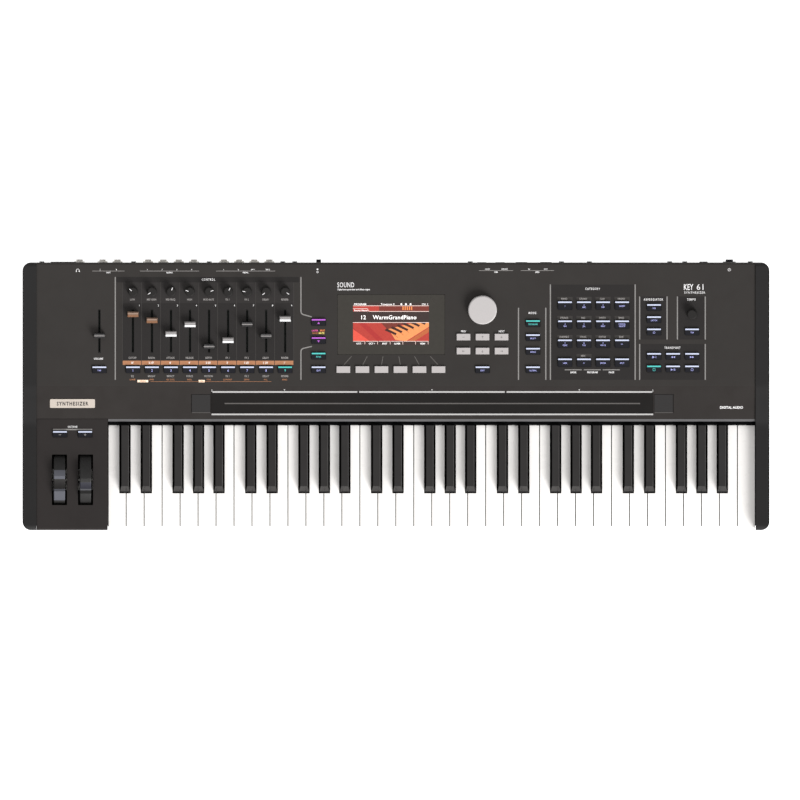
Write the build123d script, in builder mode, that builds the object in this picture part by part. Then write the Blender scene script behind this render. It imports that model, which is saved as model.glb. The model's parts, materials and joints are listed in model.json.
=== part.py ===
from build123d import *
import os
from math import cos, radians, sin, tan

# A 61-key synthesizer on rubber feet: a bent steel control panel between two moulded end
# cheeks, a pan under it, a plate of sockets at the back, and a semi-weighted key action.
# Origin: on the table, under the middle of the instrument. +X runs towards the treble,
# +Y towards the sockets and +Z up. Every size is in millimetres.

os.makedirs("parts", exist_ok=True)

# ---------------------------------------------------------------- driving dimensions
# Key plan
KEY_PITCH = 23.5
WHITE_KEYS = 36
KEY_GAP = 1.0
OCTAVE = 7 * KEY_PITCH
SEMITONE = OCTAVE / 12

# Case plan
CHEEK_WIDTH = 18.2
WHEEL_BLOCK_WIDTH = 93.3
KEY_END_FIT = 0.4
BODY_WIDTH = 2 * CHEEK_WIDTH + WHEEL_BLOCK_WIDTH + WHITE_KEYS * KEY_PITCH + 2 * KEY_END_FIT
BODY_DEPTH = 350.0
JACK_PROUD = 4.0
FRONT_Y = -(BODY_DEPTH + JACK_PROUD) / 2
REAR_Y = FRONT_Y + BODY_DEPTH
INNER_LEFT = -BODY_WIDTH / 2 + CHEEK_WIDTH
INNER_RIGHT = BODY_WIDTH / 2 - CHEEK_WIDTH
WHEEL_BLOCK_RIGHT = INNER_LEFT + WHEEL_BLOCK_WIDTH
KEYS_LEFT = WHEEL_BLOCK_RIGHT + KEY_END_FIT

# Heights
FOOT_HEIGHT = 7.0
SHEET = 1.5
FLOOR_TOP = FOOT_HEIGHT + SHEET
KEY_TOP = 64.0
SHARP_TOP = 75.5
LIP_TOP = 77.0

# Panel profile, from the lip over the keys back to the rear edge
PANEL_SHEET = 2.0
LIP_Y = -34.9
LIP_FLANGE_Y = -39.5
LIP_FLANGE_Z = 70.0
SEAM_Y = -31.2
CREASE_Y = 11.3
BAND_SLOPE = 14.0
PANEL_SLOPE = 5.5
CREASE_Z = LIP_TOP + (CREASE_Y - LIP_Y) * tan(radians(BAND_SLOPE))
REAR_Z = CREASE_Z + (REAR_Y - CREASE_Y) * tan(radians(PANEL_SLOPE))
REAR_FLANGE = 9.0
PAN_SETBACK = 6.0
PAN_FLANGE_TOP = 30.0
RAIL_SETBACK = 5.0
RAIL_TOP = 31.0
CHEEK_PROUD = 1.6
CHEEK_BOTTOM = FOOT_HEIGHT - 1
CHEEK_CORNER = 11.0
CHEEK_WALL = 4.0
CHEEK_RIM = 14.0
BLOCK_WALL = 3.0
COVER_PLACE = (-434.6, 74.0)
COVER_SIZE = (34.0, 14.0)

# Control columns and rows, as seen from above
COLUMN = 24.87
FADER_COUNT = 9
FADER_X = -343.9
FADER_Y = 83.2
FADER_TRAVEL = 45.0
FADER_SLOT = (2.0, 55.6)
VOLUME_X = -387.8
KNOB_Y = 135.3
SMALL_BUTTON = (18.2, 8.6)
PAD_BUTTON = (18.2, 10.8)
GREY_BUTTON = (17.8, 8.6)
BOTTOM_ROW_Y = 33.1
LAYER_X = -101.2
SOFT_X = -68.8
CURSOR_X = 113.1
MODE_X = 179.1
PAD_X = 220.9
TRANSPORT_X = 337.3
DIAL_Y = 111.4
DIAL_RADIUS = 18.7
TEMPO_Y = 105.8
TEMPO_RADIUS = 6.9
TEMPO_HEIGHT = 9.0
TEMPO_FLUTES = 18
KNOB_RADIUS = 6.5
KNOB_HEIGHT = 8.0
DIAL_HEIGHT = 8.0
KNOB_LIFT = 1.0
FADER_CAP = (14.6, 7.2)
FADER_CAP_CREST = (13.0, 5.4)
FADER_CAP_TOP = 9.0
FADER_CAP_FOOT = 1.2
FADER_DISH_RADIUS = 7.0
FADER_DISH_DEPTH = 0.8
FADER_BLADE = (1.2, 4.0)
NAMEPLATE_PLACE = (-423.0, -11.2)
NAMEPLATE_SIZE = (58.8, 11.8)
NAMEPLATE_THICKNESS = 0.9
DISPLAY_CENTRE = (-6.4, 91.9)
DISPLAY_SIZE = (140.0, 78.3)
BUTTON_FIT = 0.35
BUTTON_PROUD = 1.8
BUTTON_DEPTH = 3.4
FLANGE = 1.2
FLANGE_REACH = 1.0
FLANGE_GAP = 0.15

# Key action
WHITE_FRONT = -174.7
SHARP_FRONT = -128.1
SHARP_TOP_FRONT = -119.4
SHARP_REAR = -40.2
JOG_Y = -38.0
NECK = 2.0
PIVOT_Y = 40.0
PIVOT_Z = 58.0
STOP_TOP = 46.2
DOME_TOP = 48.6
ROD_RADIUS = 1.5
ROD_FIT = 0.05
LEVER_WIDTH = 10.0
LEVER_DEPTH = 12.0
HEAD_DEPTH = 20.0
SHARP_BASE = 13.4
SHARP_CREST = 9.6
SHARP_SLOT = 14.6
KEY_WALL = 1.6
KEY_ROOF = 2.4
KEY_LIP = 1.6
KEY_LIP_DEPTH = 4.0
FRAME_REACH = (-160.0, 60.0)
FRAME_PLATE = 2.0
BRACKET_SIZE = (2.0, 16.0)
STOP_BEAM = (-76.0, -64.0)
POST_SIZE = (5.0, 9.0, 38.0)
POST_Y = -150.0

# Where each sharp sits, from the boundary of the two white keys that it parts
SHARP_SHIFT = {"c_sharp": -1.5, "d_sharp": 2.9, "f_sharp": -2.5, "g_sharp": 0.7, "a_sharp": 3.9}
# white key: (place in the octave, sharp on its left, sharp on its right, semitone)
WHITES = {
    "c": (0, None, "c_sharp", 0),
    "d": (1, "c_sharp", "d_sharp", 2),
    "e": (2, "d_sharp", None, 4),
    "f": (3, None, "f_sharp", 5),
    "g": (4, "f_sharp", "g_sharp", 7),
    "a": (5, "g_sharp", "a_sharp", 9),
    "b": (6, "a_sharp", None, 11),
}
# sharp: (the white boundary it straddles, semitone)
SHARPS = {
    "c_sharp": (1, 1),
    "d_sharp": (2, 3),
    "f_sharp": (4, 6),
    "g_sharp": (5, 8),
    "a_sharp": (6, 10),
}
OCTAVES = 5

# Wheels
WHEEL_RADIUS = 38.0
WHEEL_WIDTH = 14.8
WHEEL_Y = -111.1
WHEEL_Z = LIP_TOP + 12.0 - WHEEL_RADIUS
PITCH_X = -440.0
MOD_X = -405.9
WHEEL_SLOT = (19.6, 66.1)
WHEEL_AXLE_RADIUS = 2.5
PITCH_REST_TILT = 8.0
MOD_REST_TILT = 13.0
NOTCH_RADIUS = 17.0
NOTCH_DEPTH = 4.6
WHEEL_RIM = 9.0
WHEEL_HUB = 7.0
WHEEL_WEB = 3.0
UPRIGHT_OFFSET = 13.0

# Rest settings of the faders (mm above the lowest stop) and knobs (degrees from upright)
FADER_SETTINGS = (44.6, 36.7, 19.1, 31.5, 2.9, 10.8, 31.9, 16.7, 38.8)
VOLUME_SETTING = 17.0
KNOB_SETTINGS = (50, 120, -20, 70, -70, -27, 82, 128, -120)

# Sockets along the back
JACK_X = (-413.7, -383.7, -364.0, -324.1, -304.1, -284.1, -264.1, -225.0, -205.2, -185.4, -165.6)
JACK_Z = 52.0
JACK_BORE = 3.2
JACK_DEPTH = 30.0
GAIN_X = -101.2
MIDI_X = (164.0, 196.0)
USB_X = (112.0, 136.0)
SWITCH_X = 435.7
INLET_X = 402.0
JACK_BUSH_RADIUS = 4.4
MIDI_RADIUS = 7.6
USB_SHELL = (12.0, 11.0)
INLET_RADIUS = 5.4
GAIN_RADIUS = 3.1
SWITCH_BODY = (14.6, 20.6)
ROCKER_SIZE = (9.6, 15.0)
ROCKER_PIVOT_Y = REAR_Y - 2.5
ROCKER_TILT = 8.0
JACK_BODY = (15.0, 16.0, 26.0)
JACK_NUT_RADIUS = 6.6
JACK_NUT = 1.6
GAIN_POT = 11.0
GAIN_HOLE_RADIUS = 3.6
MIDI_LENGTH = 16.0
MIDI_PIN_CIRCLE = 3.75
USB_LENGTH = 14.0
INLET_LENGTH = 15.0
SWITCH_LENGTH = 14.0
SOCKET_PROUD = 1.2

# Pots under the panel
POT_BUSH_RADIUS = 3.9
POT_SHAFT_RADIUS = 3.0
POT_FIT = 0.08
POT_DROP = 5.0
POT_GAP = 1.0
POT_BODY = 7.0
SLIDE_POT = (9.0, 64.0)
ROTARY_POT = (11.5, 12.5)

# Circuit boards
BOARD = 1.6
BOARD_LIFT = 6.0
MAIN_BOARD = (-430.0, -60.0, 75.0, 139.0)
MAIN_CHIPS = ((-330, 105, 28, 28, 3), (-270, 105, 20, 20, 2.5), (-200, 100, 24, 16, 4))
POWER_BOARD = (250.0, 425.0, 75.0, 150.0)
CAPACITOR_X = (290, 330, 370)
CAPACITOR = (9.0, 24.0)
CONTACT_Z = 33.0
CONTACT_BOARD = (-25.0, 15.0)
DOME_STRIP = (-14.0, 2.0)
PANEL_BOARD_DROP = 13.0
PANEL_BOARD_PLACE = (8.0, 82.0)
PANEL_BOARD_SIZE = (826.0, 132.0)
SWITCH_SIZE = 6.0
SWITCH_HEIGHT = 9.4

# Feet and screws
FOOT_PLACES = [(x, y) for x in (-420, 0, 420) for y in (-148, 138)]
BOTTOM_SCREWS = [(x, y) for x in (-460, -250, -120, 120, 250, 455) for y in (-100, 100)]
REAR_SCREW_X = (-463.0, -343.0, -244.2, -148.0, -132.4, 97.0, 216.2, 252.7, 357.7, 377.5, 463.0)
REAR_SCREW_Z = (24.0, 84.0)
SCREW_RADIUS = 1.5
SCREW_FIT = 0.15
SCREW_HEAD = 3.3
HEAD_HEIGHT = 1.7
FOOT_RADIUS = 11.0
FOOT_RECESS = (4.2, 3.5)


# ---------------------------------------------------------------- planes and helpers
def slope_plane(slope):
    """A plane through the panel's crease, tilted back by slope degrees, its Y axis uphill."""
    tilt = radians(slope)
    return Plane(origin=(0, CREASE_Y, CREASE_Z), x_dir=(1, 0, 0), z_dir=(0, -sin(tilt), cos(tilt)))


PANEL = slope_plane(PANEL_SLOPE)
BAND = slope_plane(BAND_SLOPE)
BACK = Plane(origin=(0, REAR_Y, 0), x_dir=(-1, 0, 0), z_dir=(0, 1, 0))


def on_panel(x, y):
    """The panel-plane coordinates of a point given as it is seen from above."""
    return (x, (y - CREASE_Y) / cos(radians(PANEL_SLOPE)))


def on_band(x, y):
    return (x, (y - CREASE_Y) / cos(radians(BAND_SLOPE)))


def back_places(xs, z):
    """The back plane's coordinates of points at one height, its X axis running the other way."""
    return [(-x, z) for x in xs]


def span_box(x0, x1, y0, y1, z0, z1, mode=Mode.ADD):
    """A box between two corners, added to the part being built."""
    with Locations((x0, y0, z0)):
        Box(x1 - x0, y1 - y0, z1 - z0, align=(Align.MIN, Align.MIN, Align.MIN), mode=mode)


def save(part, name):
    part.label = name
    export_step(part, f"parts/{name}.step")


def columns(first, count):
    return [first + COLUMN * n for n in range(count)]


def rows(x, ys):
    return [(x, y) for y in ys]


FADER_XS = columns(FADER_X, FADER_COUNT)
LAYER_ROWS = (95.1, 71.3, 51.0, BOTTOM_ROW_Y)
MODE_ROWS = (93.5, 75.1, 57.3, BOTTOM_ROW_Y)
CURSOR_ROWS = (75.6, 57.3)
PAD_ROWS = (117.0, 92.1, 67.2, 42.4)
ARP_ROWS = (114.5, 98.6, 82.6)
TRANSPORT_ROWS = (50.6, 34.2)
TEMPO_X = TRANSPORT_X + 2 * COLUMN

# Every button group: (places seen from above, cap size)
ZONE_PLACES = [(x, BOTTOM_ROW_Y) for x in (VOLUME_X, *FADER_XS)]
MODE_PLACES = rows(LAYER_X, LAYER_ROWS) + rows(MODE_X, MODE_ROWS) + [(CURSOR_X, BOTTOM_ROW_Y)]
GREY_PLACES = [(x, BOTTOM_ROW_Y) for x in columns(SOFT_X, 6)] + [
    (CURSOR_X + COLUMN * n, y) for y in CURSOR_ROWS for n in (-1, 0, 1)
]
PAD_PLACES = [(x, y) for y in PAD_ROWS for x in columns(PAD_X, 4)]
TRANSPORT_PLACES = (
    rows(TRANSPORT_X, ARP_ROWS)
    + [(TEMPO_X, ARP_ROWS[-1])]
    + [(x, y) for y in TRANSPORT_ROWS for x in columns(TRANSPORT_X, 3)]
)
BUTTON_GROUPS = {
    "zone_buttons": (ZONE_PLACES, SMALL_BUTTON),
    "mode_buttons": (MODE_PLACES, SMALL_BUTTON),
    "cursor_buttons": (GREY_PLACES, GREY_BUTTON),
    "category_buttons": (PAD_PLACES, PAD_BUTTON),
    "transport_buttons": (TRANSPORT_PLACES, SMALL_BUTTON),
}
TRANSPOSE_PLACES = [(-439.3, -51.3), (-406.4, -51.3)]
TRANSPOSE_SIZE = (18.2, 7.6)

# Ribbon: a long strip with a square pad beyond each end
RIBBON_CENTRE = (47.3, -11.4)
RIBBON_SIZE = (577.4, 31.0)
RIBBON_PAD_X = (-255.0, 350.0)
RIBBON_PAD = (25.2, 24.4)


# ---------------------------------------------------------------- case
def make_top_panel():
    """The bent steel panel: rear flange, control face, ribbon band and the lip over the keys."""
    with BuildPart() as panel:
        with BuildSketch(Plane.YZ.offset(INNER_LEFT)):
            with BuildLine():
                FilletPolyline(
                    (REAR_Y, REAR_Z - REAR_FLANGE),
                    (REAR_Y, REAR_Z),
                    (CREASE_Y, CREASE_Z),
                    (LIP_Y, LIP_TOP),
                    (LIP_Y, LIP_FLANGE_Z),
                    (LIP_FLANGE_Y, LIP_FLANGE_Z),
                    radius=(3, 8, 4.2, 0.6),
                )
                offset(amount=PANEL_SHEET, side=Side.LEFT)
            make_face()
        extrude(amount=INNER_RIGHT - INNER_LEFT)
        # the lip stops where the wheel block butts against the band
        with Locations((INNER_LEFT, SEAM_Y, LIP_FLANGE_Z - 5)):
            Box(WHEEL_BLOCK_WIDTH, 20, 30, align=(Align.MIN, Align.MAX, Align.MIN), mode=Mode.SUBTRACT)
        with BuildSketch(PANEL):
            for places, size in BUTTON_GROUPS.values():
                with Locations(*[on_panel(x, y) for x, y in places]):
                    Rectangle(size[0] + 2 * BUTTON_FIT, size[1] + 2 * BUTTON_FIT)
            with Locations(*[on_panel(x, FADER_Y) for x in (VOLUME_X, *FADER_XS)]):
                RectangleRounded(*FADER_SLOT, FADER_SLOT[0] / 2 - 0.01)
            with Locations(*[on_panel(x, KNOB_Y) for x in FADER_XS], on_panel(TEMPO_X, TEMPO_Y)):
                Circle(POT_BUSH_RADIUS + 0.2)
            with Locations(on_panel(CURSOR_X, DIAL_Y)):
                Circle(POT_BUSH_RADIUS + 0.2)
            with Locations(on_panel(*DISPLAY_CENTRE)):
                Rectangle(DISPLAY_SIZE[0] + 0.4, DISPLAY_SIZE[1] + 0.4)
        extrude(amount=-8, both=True, mode=Mode.SUBTRACT)
        with BuildSketch(BAND):
            with Locations(on_band(*RIBBON_CENTRE)):
                Rectangle(RIBBON_SIZE[0] + 0.4, RIBBON_SIZE[1] + 0.4)
            with Locations(*[on_band(x, RIBBON_CENTRE[1]) for x in RIBBON_PAD_X]):
                Rectangle(RIBBON_PAD[0] + 0.4, RIBBON_PAD[1] + 0.4)
        extrude(amount=-8, both=True, mode=Mode.SUBTRACT)
    save(panel.part, "top_panel")


def make_cheek(side, name):
    """A moulded end cheek, rounded outside and hollow towards the case. side is -1 or 1."""
    inner = INNER_LEFT if side < 0 else INNER_RIGHT
    outer = side * BODY_WIDTH / 2
    rise = CHEEK_PROUD
    with BuildPart() as cheek:
        with BuildSketch(Plane.YZ.offset(inner)):
            with BuildLine():
                FilletPolyline(
                    (FRONT_Y, CHEEK_BOTTOM),
                    (FRONT_Y, LIP_TOP + rise),
                    (LIP_Y - 4, LIP_TOP + rise),
                    (CREASE_Y, CREASE_Z + rise),
                    (REAR_Y, REAR_Z + rise),
                    (REAR_Y, CHEEK_BOTTOM),
                    radius=(7, 30, 40, 5),
                )
                Line((REAR_Y, CHEEK_BOTTOM), (FRONT_Y, CHEEK_BOTTOM))
            make_face()
        extrude(amount=side * CHEEK_WIDTH)
        # rounded in plan at its two outer corners
        with BuildSketch(Plane.XY):
            with Locations((outer - side * CHEEK_WIDTH, (FRONT_Y + REAR_Y) / 2)):
                RectangleRounded(2 * CHEEK_WIDTH, BODY_DEPTH, CHEEK_CORNER)
        extrude(amount=2 * REAR_Z, mode=Mode.INTERSECT)
        # the moulding is a shell: its pocket opens towards the case, below the panel
        with BuildSketch(Plane.YZ.offset(inner)):
            with BuildLine():
                Polyline(
                    (FRONT_Y + CHEEK_RIM, PAN_FLANGE_TOP + 4.5),
                    (FRONT_Y + CHEEK_RIM, KEY_TOP - 24),
                    (PIVOT_Y, KEY_TOP - 14),
                    (REAR_Y - CHEEK_RIM, KEY_TOP + 16),
                    (REAR_Y - CHEEK_RIM, PAN_FLANGE_TOP + 4.5),
                    close=True,
                )
            make_face()
        extrude(amount=side * (CHEEK_WIDTH - CHEEK_WALL), mode=Mode.SUBTRACT)
    save(cheek.part, name)


def make_bottom_pan():
    """The steel pan: a floor, a low flange at each end for a cheek, and one up the back."""
    left, right = INNER_LEFT, INNER_RIGHT
    front, rear = FRONT_Y + PAN_SETBACK, REAR_Y - SHEET - 0.1
    with BuildPart() as pan:
        span_box(left, right, front, rear, FOOT_HEIGHT, FLOOR_TOP)
        span_box(left, left + SHEET, front, rear, FOOT_HEIGHT, PAN_FLANGE_TOP)
        span_box(right - SHEET, right, front, rear, FOOT_HEIGHT, PAN_FLANGE_TOP)
        span_box(left, right, rear - SHEET, rear, FOOT_HEIGHT, PAN_FLANGE_TOP)
        with BuildSketch(Plane.XY.offset(FOOT_HEIGHT)):
            with Locations(*BOTTOM_SCREWS, *FOOT_PLACES):
                Circle(SCREW_RADIUS + SCREW_FIT)
        extrude(amount=SHEET, mode=Mode.SUBTRACT)
        with BuildSketch(BACK):
            with Locations(*back_places(REAR_SCREW_X, REAR_SCREW_Z[0])):
                Circle(SCREW_RADIUS + SCREW_FIT)
        extrude(amount=-5, mode=Mode.SUBTRACT)
    save(pan.part, "bottom_pan")


def make_rear_panel():
    """The steel plate of sockets, with a hole for each socket, switch, knob and screw."""
    top = REAR_Z - REAR_FLANGE
    with BuildPart() as plate:
        with BuildSketch(BACK):
            with Locations((0, (FLOOR_TOP + top) / 2)):
                Rectangle(INNER_RIGHT - INNER_LEFT, top - FLOOR_TOP - 0.2)
            with Locations(*back_places(JACK_X, JACK_Z)):
                Circle(JACK_BUSH_RADIUS + 0.2, mode=Mode.SUBTRACT)
            with Locations((-GAIN_X, JACK_Z)):
                Circle(GAIN_HOLE_RADIUS, mode=Mode.SUBTRACT)
            with Locations(*back_places(MIDI_X, JACK_Z)):
                Circle(MIDI_RADIUS + 0.2, mode=Mode.SUBTRACT)
            with Locations(*back_places(USB_X, JACK_Z)):
                Rectangle(USB_SHELL[0] + 0.4, USB_SHELL[1] + 0.4, mode=Mode.SUBTRACT)
            with Locations((-SWITCH_X, JACK_Z)):
                Rectangle(SWITCH_BODY[0] + 0.4, SWITCH_BODY[1] + 0.4, mode=Mode.SUBTRACT)
            with Locations((-INLET_X, JACK_Z)):
                Circle(INLET_RADIUS + 0.2, mode=Mode.SUBTRACT)
            with Locations(*[(-x, z) for x in REAR_SCREW_X for z in REAR_SCREW_Z]):
                Circle(SCREW_RADIUS + SCREW_FIT, mode=Mode.SUBTRACT)
        extrude(amount=-SHEET)
        # a raised cover plate beside the headphone socket
        with BuildSketch(BACK):
            with Locations((-COVER_PLACE[0], COVER_PLACE[1])):
                RectangleRounded(*COVER_SIZE, 2)
        extrude(amount=1.0)
    save(plate.part, "rear_panel")


def make_front_rail():
    """The low rail under the overhanging key fronts, with a flange turned in at the top."""
    left_end = WHEEL_BLOCK_RIGHT + 0.2
    length = INNER_RIGHT - SHEET - 0.1 - left_end
    with BuildPart() as rail:
        with BuildSketch(Plane.YZ.offset(left_end)):
            with BuildLine():
                FilletPolyline(
                    (FRONT_Y + RAIL_SETBACK, FLOOR_TOP),
                    (FRONT_Y + RAIL_SETBACK, RAIL_TOP),
                    (FRONT_Y + RAIL_SETBACK + 12, RAIL_TOP),
                    radius=3,
                )
                offset(amount=2.4, side=Side.RIGHT)
            make_face()
        extrude(amount=length)
    save(rail.part, "front_rail")


def make_wheel_panel():
    """The moulded block left of the keys: a top with two wheel slots and two button holes."""
    top = LIP_TOP
    wall = BLOCK_WALL
    width = WHEEL_BLOCK_WIDTH
    rear = SEAM_Y - 0.2
    front = FRONT_Y
    mid = ((INNER_LEFT + WHEEL_BLOCK_RIGHT) / 2, (front + rear) / 2)
    with BuildPart() as block:
        with Locations((*mid, FOOT_HEIGHT)):
            Box(width - 0.2, rear - front, top - FOOT_HEIGHT, align=(Align.CENTER, Align.CENTER, Align.MIN))
        front_rim = block.edges().filter_by(Axis.X).group_by(Axis.Y)[0].sort_by(Axis.Z)[-1]
        fillet(front_rim, 2.5)
        right_rim = block.edges().filter_by(Axis.Y).group_by(Axis.Z)[-1].sort_by(Axis.X)[-1]
        fillet(right_rim, 0.8)
        # hollow from below and open at the back, where the pan and the panel close it
        with Locations((mid[0], front + wall, FOOT_HEIGHT - 1)):
            Box(
                width - 2 * wall,
                rear - front,
                top - wall - FOOT_HEIGHT + 1,
                align=(Align.CENTER, Align.MIN, Align.MIN),
                mode=Mode.SUBTRACT,
            )
        # room for the pan's floor under the side walls
        with Locations((mid[0], front + PAN_SETBACK, FOOT_HEIGHT - 0.1)):
            Box(
                width + 2,
                rear - front,
                SHEET + 0.2,
                align=(Align.CENTER, Align.MIN, Align.MIN),
                mode=Mode.SUBTRACT,
            )
        flange_room = PAN_FLANGE_TOP - FOOT_HEIGHT + 1
        with Locations((INNER_LEFT - 1, front + PAN_SETBACK, FOOT_HEIGHT - 0.1)):
            Box(4.3, rear - front, flange_room, align=(Align.MIN, Align.MIN, Align.MIN), mode=Mode.SUBTRACT)
        with BuildSketch(Plane.XY.offset(top)):
            with Locations((PITCH_X, WHEEL_Y), (MOD_X, WHEEL_Y)):
                RectangleRounded(*WHEEL_SLOT, 0.8)
            with Locations(*TRANSPOSE_PLACES):
                Rectangle(TRANSPOSE_SIZE[0] + 2 * BUTTON_FIT, TRANSPOSE_SIZE[1] + 2 * BUTTON_FIT)
        extrude(amount=-wall, mode=Mode.SUBTRACT)
    save(block.part, "wheel_panel")


# ---------------------------------------------------------------- keys
def lever_and_bearing(left, right, lever_left, body_top):
    """Adds the neck, the hollow lever and its bore to the key being built."""
    lever_right = lever_left + LEVER_WIDTH
    neck_left = max(left, lever_left)
    neck_right = min(right, lever_right)
    bottom = KEY_TOP - LEVER_DEPTH
    span_box(neck_left, neck_right, JOG_Y - NECK, JOG_Y + 0.01, bottom, body_top)
    span_box(lever_left, lever_right, JOG_Y, PIVOT_Y + 5, bottom, body_top)
    span_box(
        lever_left + KEY_WALL,
        lever_right - KEY_WALL,
        JOG_Y + 3,
        PIVOT_Y - 6,
        bottom - 1,
        body_top - KEY_ROOF,
        mode=Mode.SUBTRACT,
    )
    with Locations((lever_left + LEVER_WIDTH / 2, PIVOT_Y, PIVOT_Z)):
        Cylinder(ROD_RADIUS + ROD_FIT, LEVER_WIDTH + 2, rotation=(0, 90, 0), mode=Mode.SUBTRACT)


def make_white_key(left, right, lever_left):
    """One white key at its octave's first key: lipped head, tail between the sharps, lever."""
    head_left = KEY_GAP / 2
    head_right = KEY_PITCH - KEY_GAP / 2
    head_rear = SHARP_FRONT - 0.7
    tail_end = JOG_Y - NECK
    lip = KEY_LIP
    lip_depth = KEY_LIP_DEPTH
    with BuildPart() as key:
        with BuildSketch(Plane.XY.offset(KEY_TOP)):
            with Locations((head_left, WHITE_FRONT)):
                Rectangle(head_right - head_left, head_rear - WHITE_FRONT, align=(Align.MIN, Align.MIN))
            with Locations((left, head_rear)):
                Rectangle(right - left, tail_end - head_rear, align=(Align.MIN, Align.MIN))
        extrude(amount=-lip_depth)
        rim = key.faces().sort_by(Axis.Z)[-1].edges()
        fillet(rim.group_by(Axis.Y)[0], 1.0)
        rim = key.faces().sort_by(Axis.Z)[-1].edges()
        fillet(rim.filter_by(Axis.Y), 0.45)
        with BuildSketch(Plane.XY.offset(KEY_TOP - lip_depth)):
            with Locations((head_left, WHITE_FRONT + lip)):
                Rectangle(
                    head_right - head_left, head_rear - WHITE_FRONT - lip, align=(Align.MIN, Align.MIN)
                )
        extrude(amount=lip_depth - HEAD_DEPTH)
        with BuildSketch(Plane.XY.offset(KEY_TOP - lip_depth)):
            with Locations((left, head_rear)):
                Rectangle(right - left, tail_end - head_rear, align=(Align.MIN, Align.MIN))
        extrude(amount=lip_depth - LEVER_DEPTH)
        roof = KEY_TOP - KEY_ROOF
        span_box(
            head_left + KEY_WALL,
            head_right - KEY_WALL,
            WHITE_FRONT + lip + KEY_WALL,
            head_rear - KEY_WALL,
            KEY_TOP - HEAD_DEPTH - 1,
            roof,
            mode=Mode.SUBTRACT,
        )
        span_box(
            left + KEY_WALL,
            right - KEY_WALL,
            head_rear + KEY_WALL,
            tail_end - KEY_WALL,
            KEY_TOP - LEVER_DEPTH - 1,
            roof,
            mode=Mode.SUBTRACT,
        )
        lever_and_bearing(left, right, lever_left, KEY_TOP - 0.6)
    return key.part


def make_sharp(centre, lever_left):
    """One black key: a tapered cap with a sloped front on a narrow hollow lever."""
    base_z = KEY_TOP - 1.5
    left = centre - SHARP_BASE / 2 + 1.2
    right = centre + SHARP_BASE / 2 - 1.2
    with BuildPart() as key:
        with BuildSketch(Plane.XY.offset(base_z)):
            with Locations((centre, (SHARP_FRONT + SHARP_REAR) / 2)):
                Rectangle(SHARP_BASE, SHARP_REAR - SHARP_FRONT)
        with BuildSketch(Plane.XY.offset(SHARP_TOP)):
            with Locations((centre, (SHARP_TOP_FRONT + SHARP_REAR) / 2)):
                Rectangle(SHARP_CREST, SHARP_REAR - SHARP_TOP_FRONT)
        loft()
        crest = key.faces().sort_by(Axis.Z)[-1].edges()
        fillet(crest.filter_by(Axis.Y) + crest.sort_by(Axis.Y)[:1], 0.9)
        span_box(left, right, SHARP_FRONT + 3, JOG_Y - NECK, KEY_TOP - LEVER_DEPTH, base_z)
        # cap and body are hollow, open underneath
        span_box(
            centre - SHARP_CREST / 2 + 1.0,
            centre + SHARP_CREST / 2 - 1.0,
            SHARP_TOP_FRONT + 2,
            JOG_Y - NECK - KEY_WALL,
            KEY_TOP - LEVER_DEPTH - 1,
            SHARP_TOP - KEY_ROOF,
            mode=Mode.SUBTRACT,
        )
        lever_and_bearing(left, right, lever_left, base_z)
    return key.part


def lever_left_of(semitone):
    """Left side of the lever for a semitone: the twelve levers are evenly spaced at the pivot."""
    return SEMITONE * (semitone + 0.5) - LEVER_WIDTH / 2


def make_keys():
    """One node for each note name, holding that note's key in every octave."""
    starts = [(KEYS_LEFT + OCTAVE * n, 0, 0) for n in range(OCTAVES)]
    for note, (place, left_sharp, right_sharp, semitone) in WHITES.items():
        left = SHARP_SHIFT[left_sharp] + SHARP_SLOT / 2 if left_sharp else KEY_GAP / 2
        right = KEY_PITCH - KEY_GAP / 2
        if right_sharp:
            right = KEY_PITCH + SHARP_SHIFT[right_sharp] - SHARP_SLOT / 2
        origin = place * KEY_PITCH
        one = make_white_key(left, right, lever_left_of(semitone) - origin)
        with BuildPart() as keys:
            with Locations(*[(x + origin, y, z) for x, y, z in starts]):
                add(one)
            if note == "c":
                top_c = make_white_key(KEY_GAP / 2, KEY_PITCH - KEY_GAP / 2, lever_left_of(0))
                with Locations((KEYS_LEFT + OCTAVE * OCTAVES, 0, 0)):
                    add(top_c)
        save(keys.part, f"keys_{note}")
    for note, (boundary, semitone) in SHARPS.items():
        centre = boundary * KEY_PITCH + SHARP_SHIFT[note]
        one = make_sharp(centre, lever_left_of(semitone))
        with BuildPart() as keys:
            with Locations(*starts):
                add(one)
        save(keys.part, f"keys_{note}")


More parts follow.
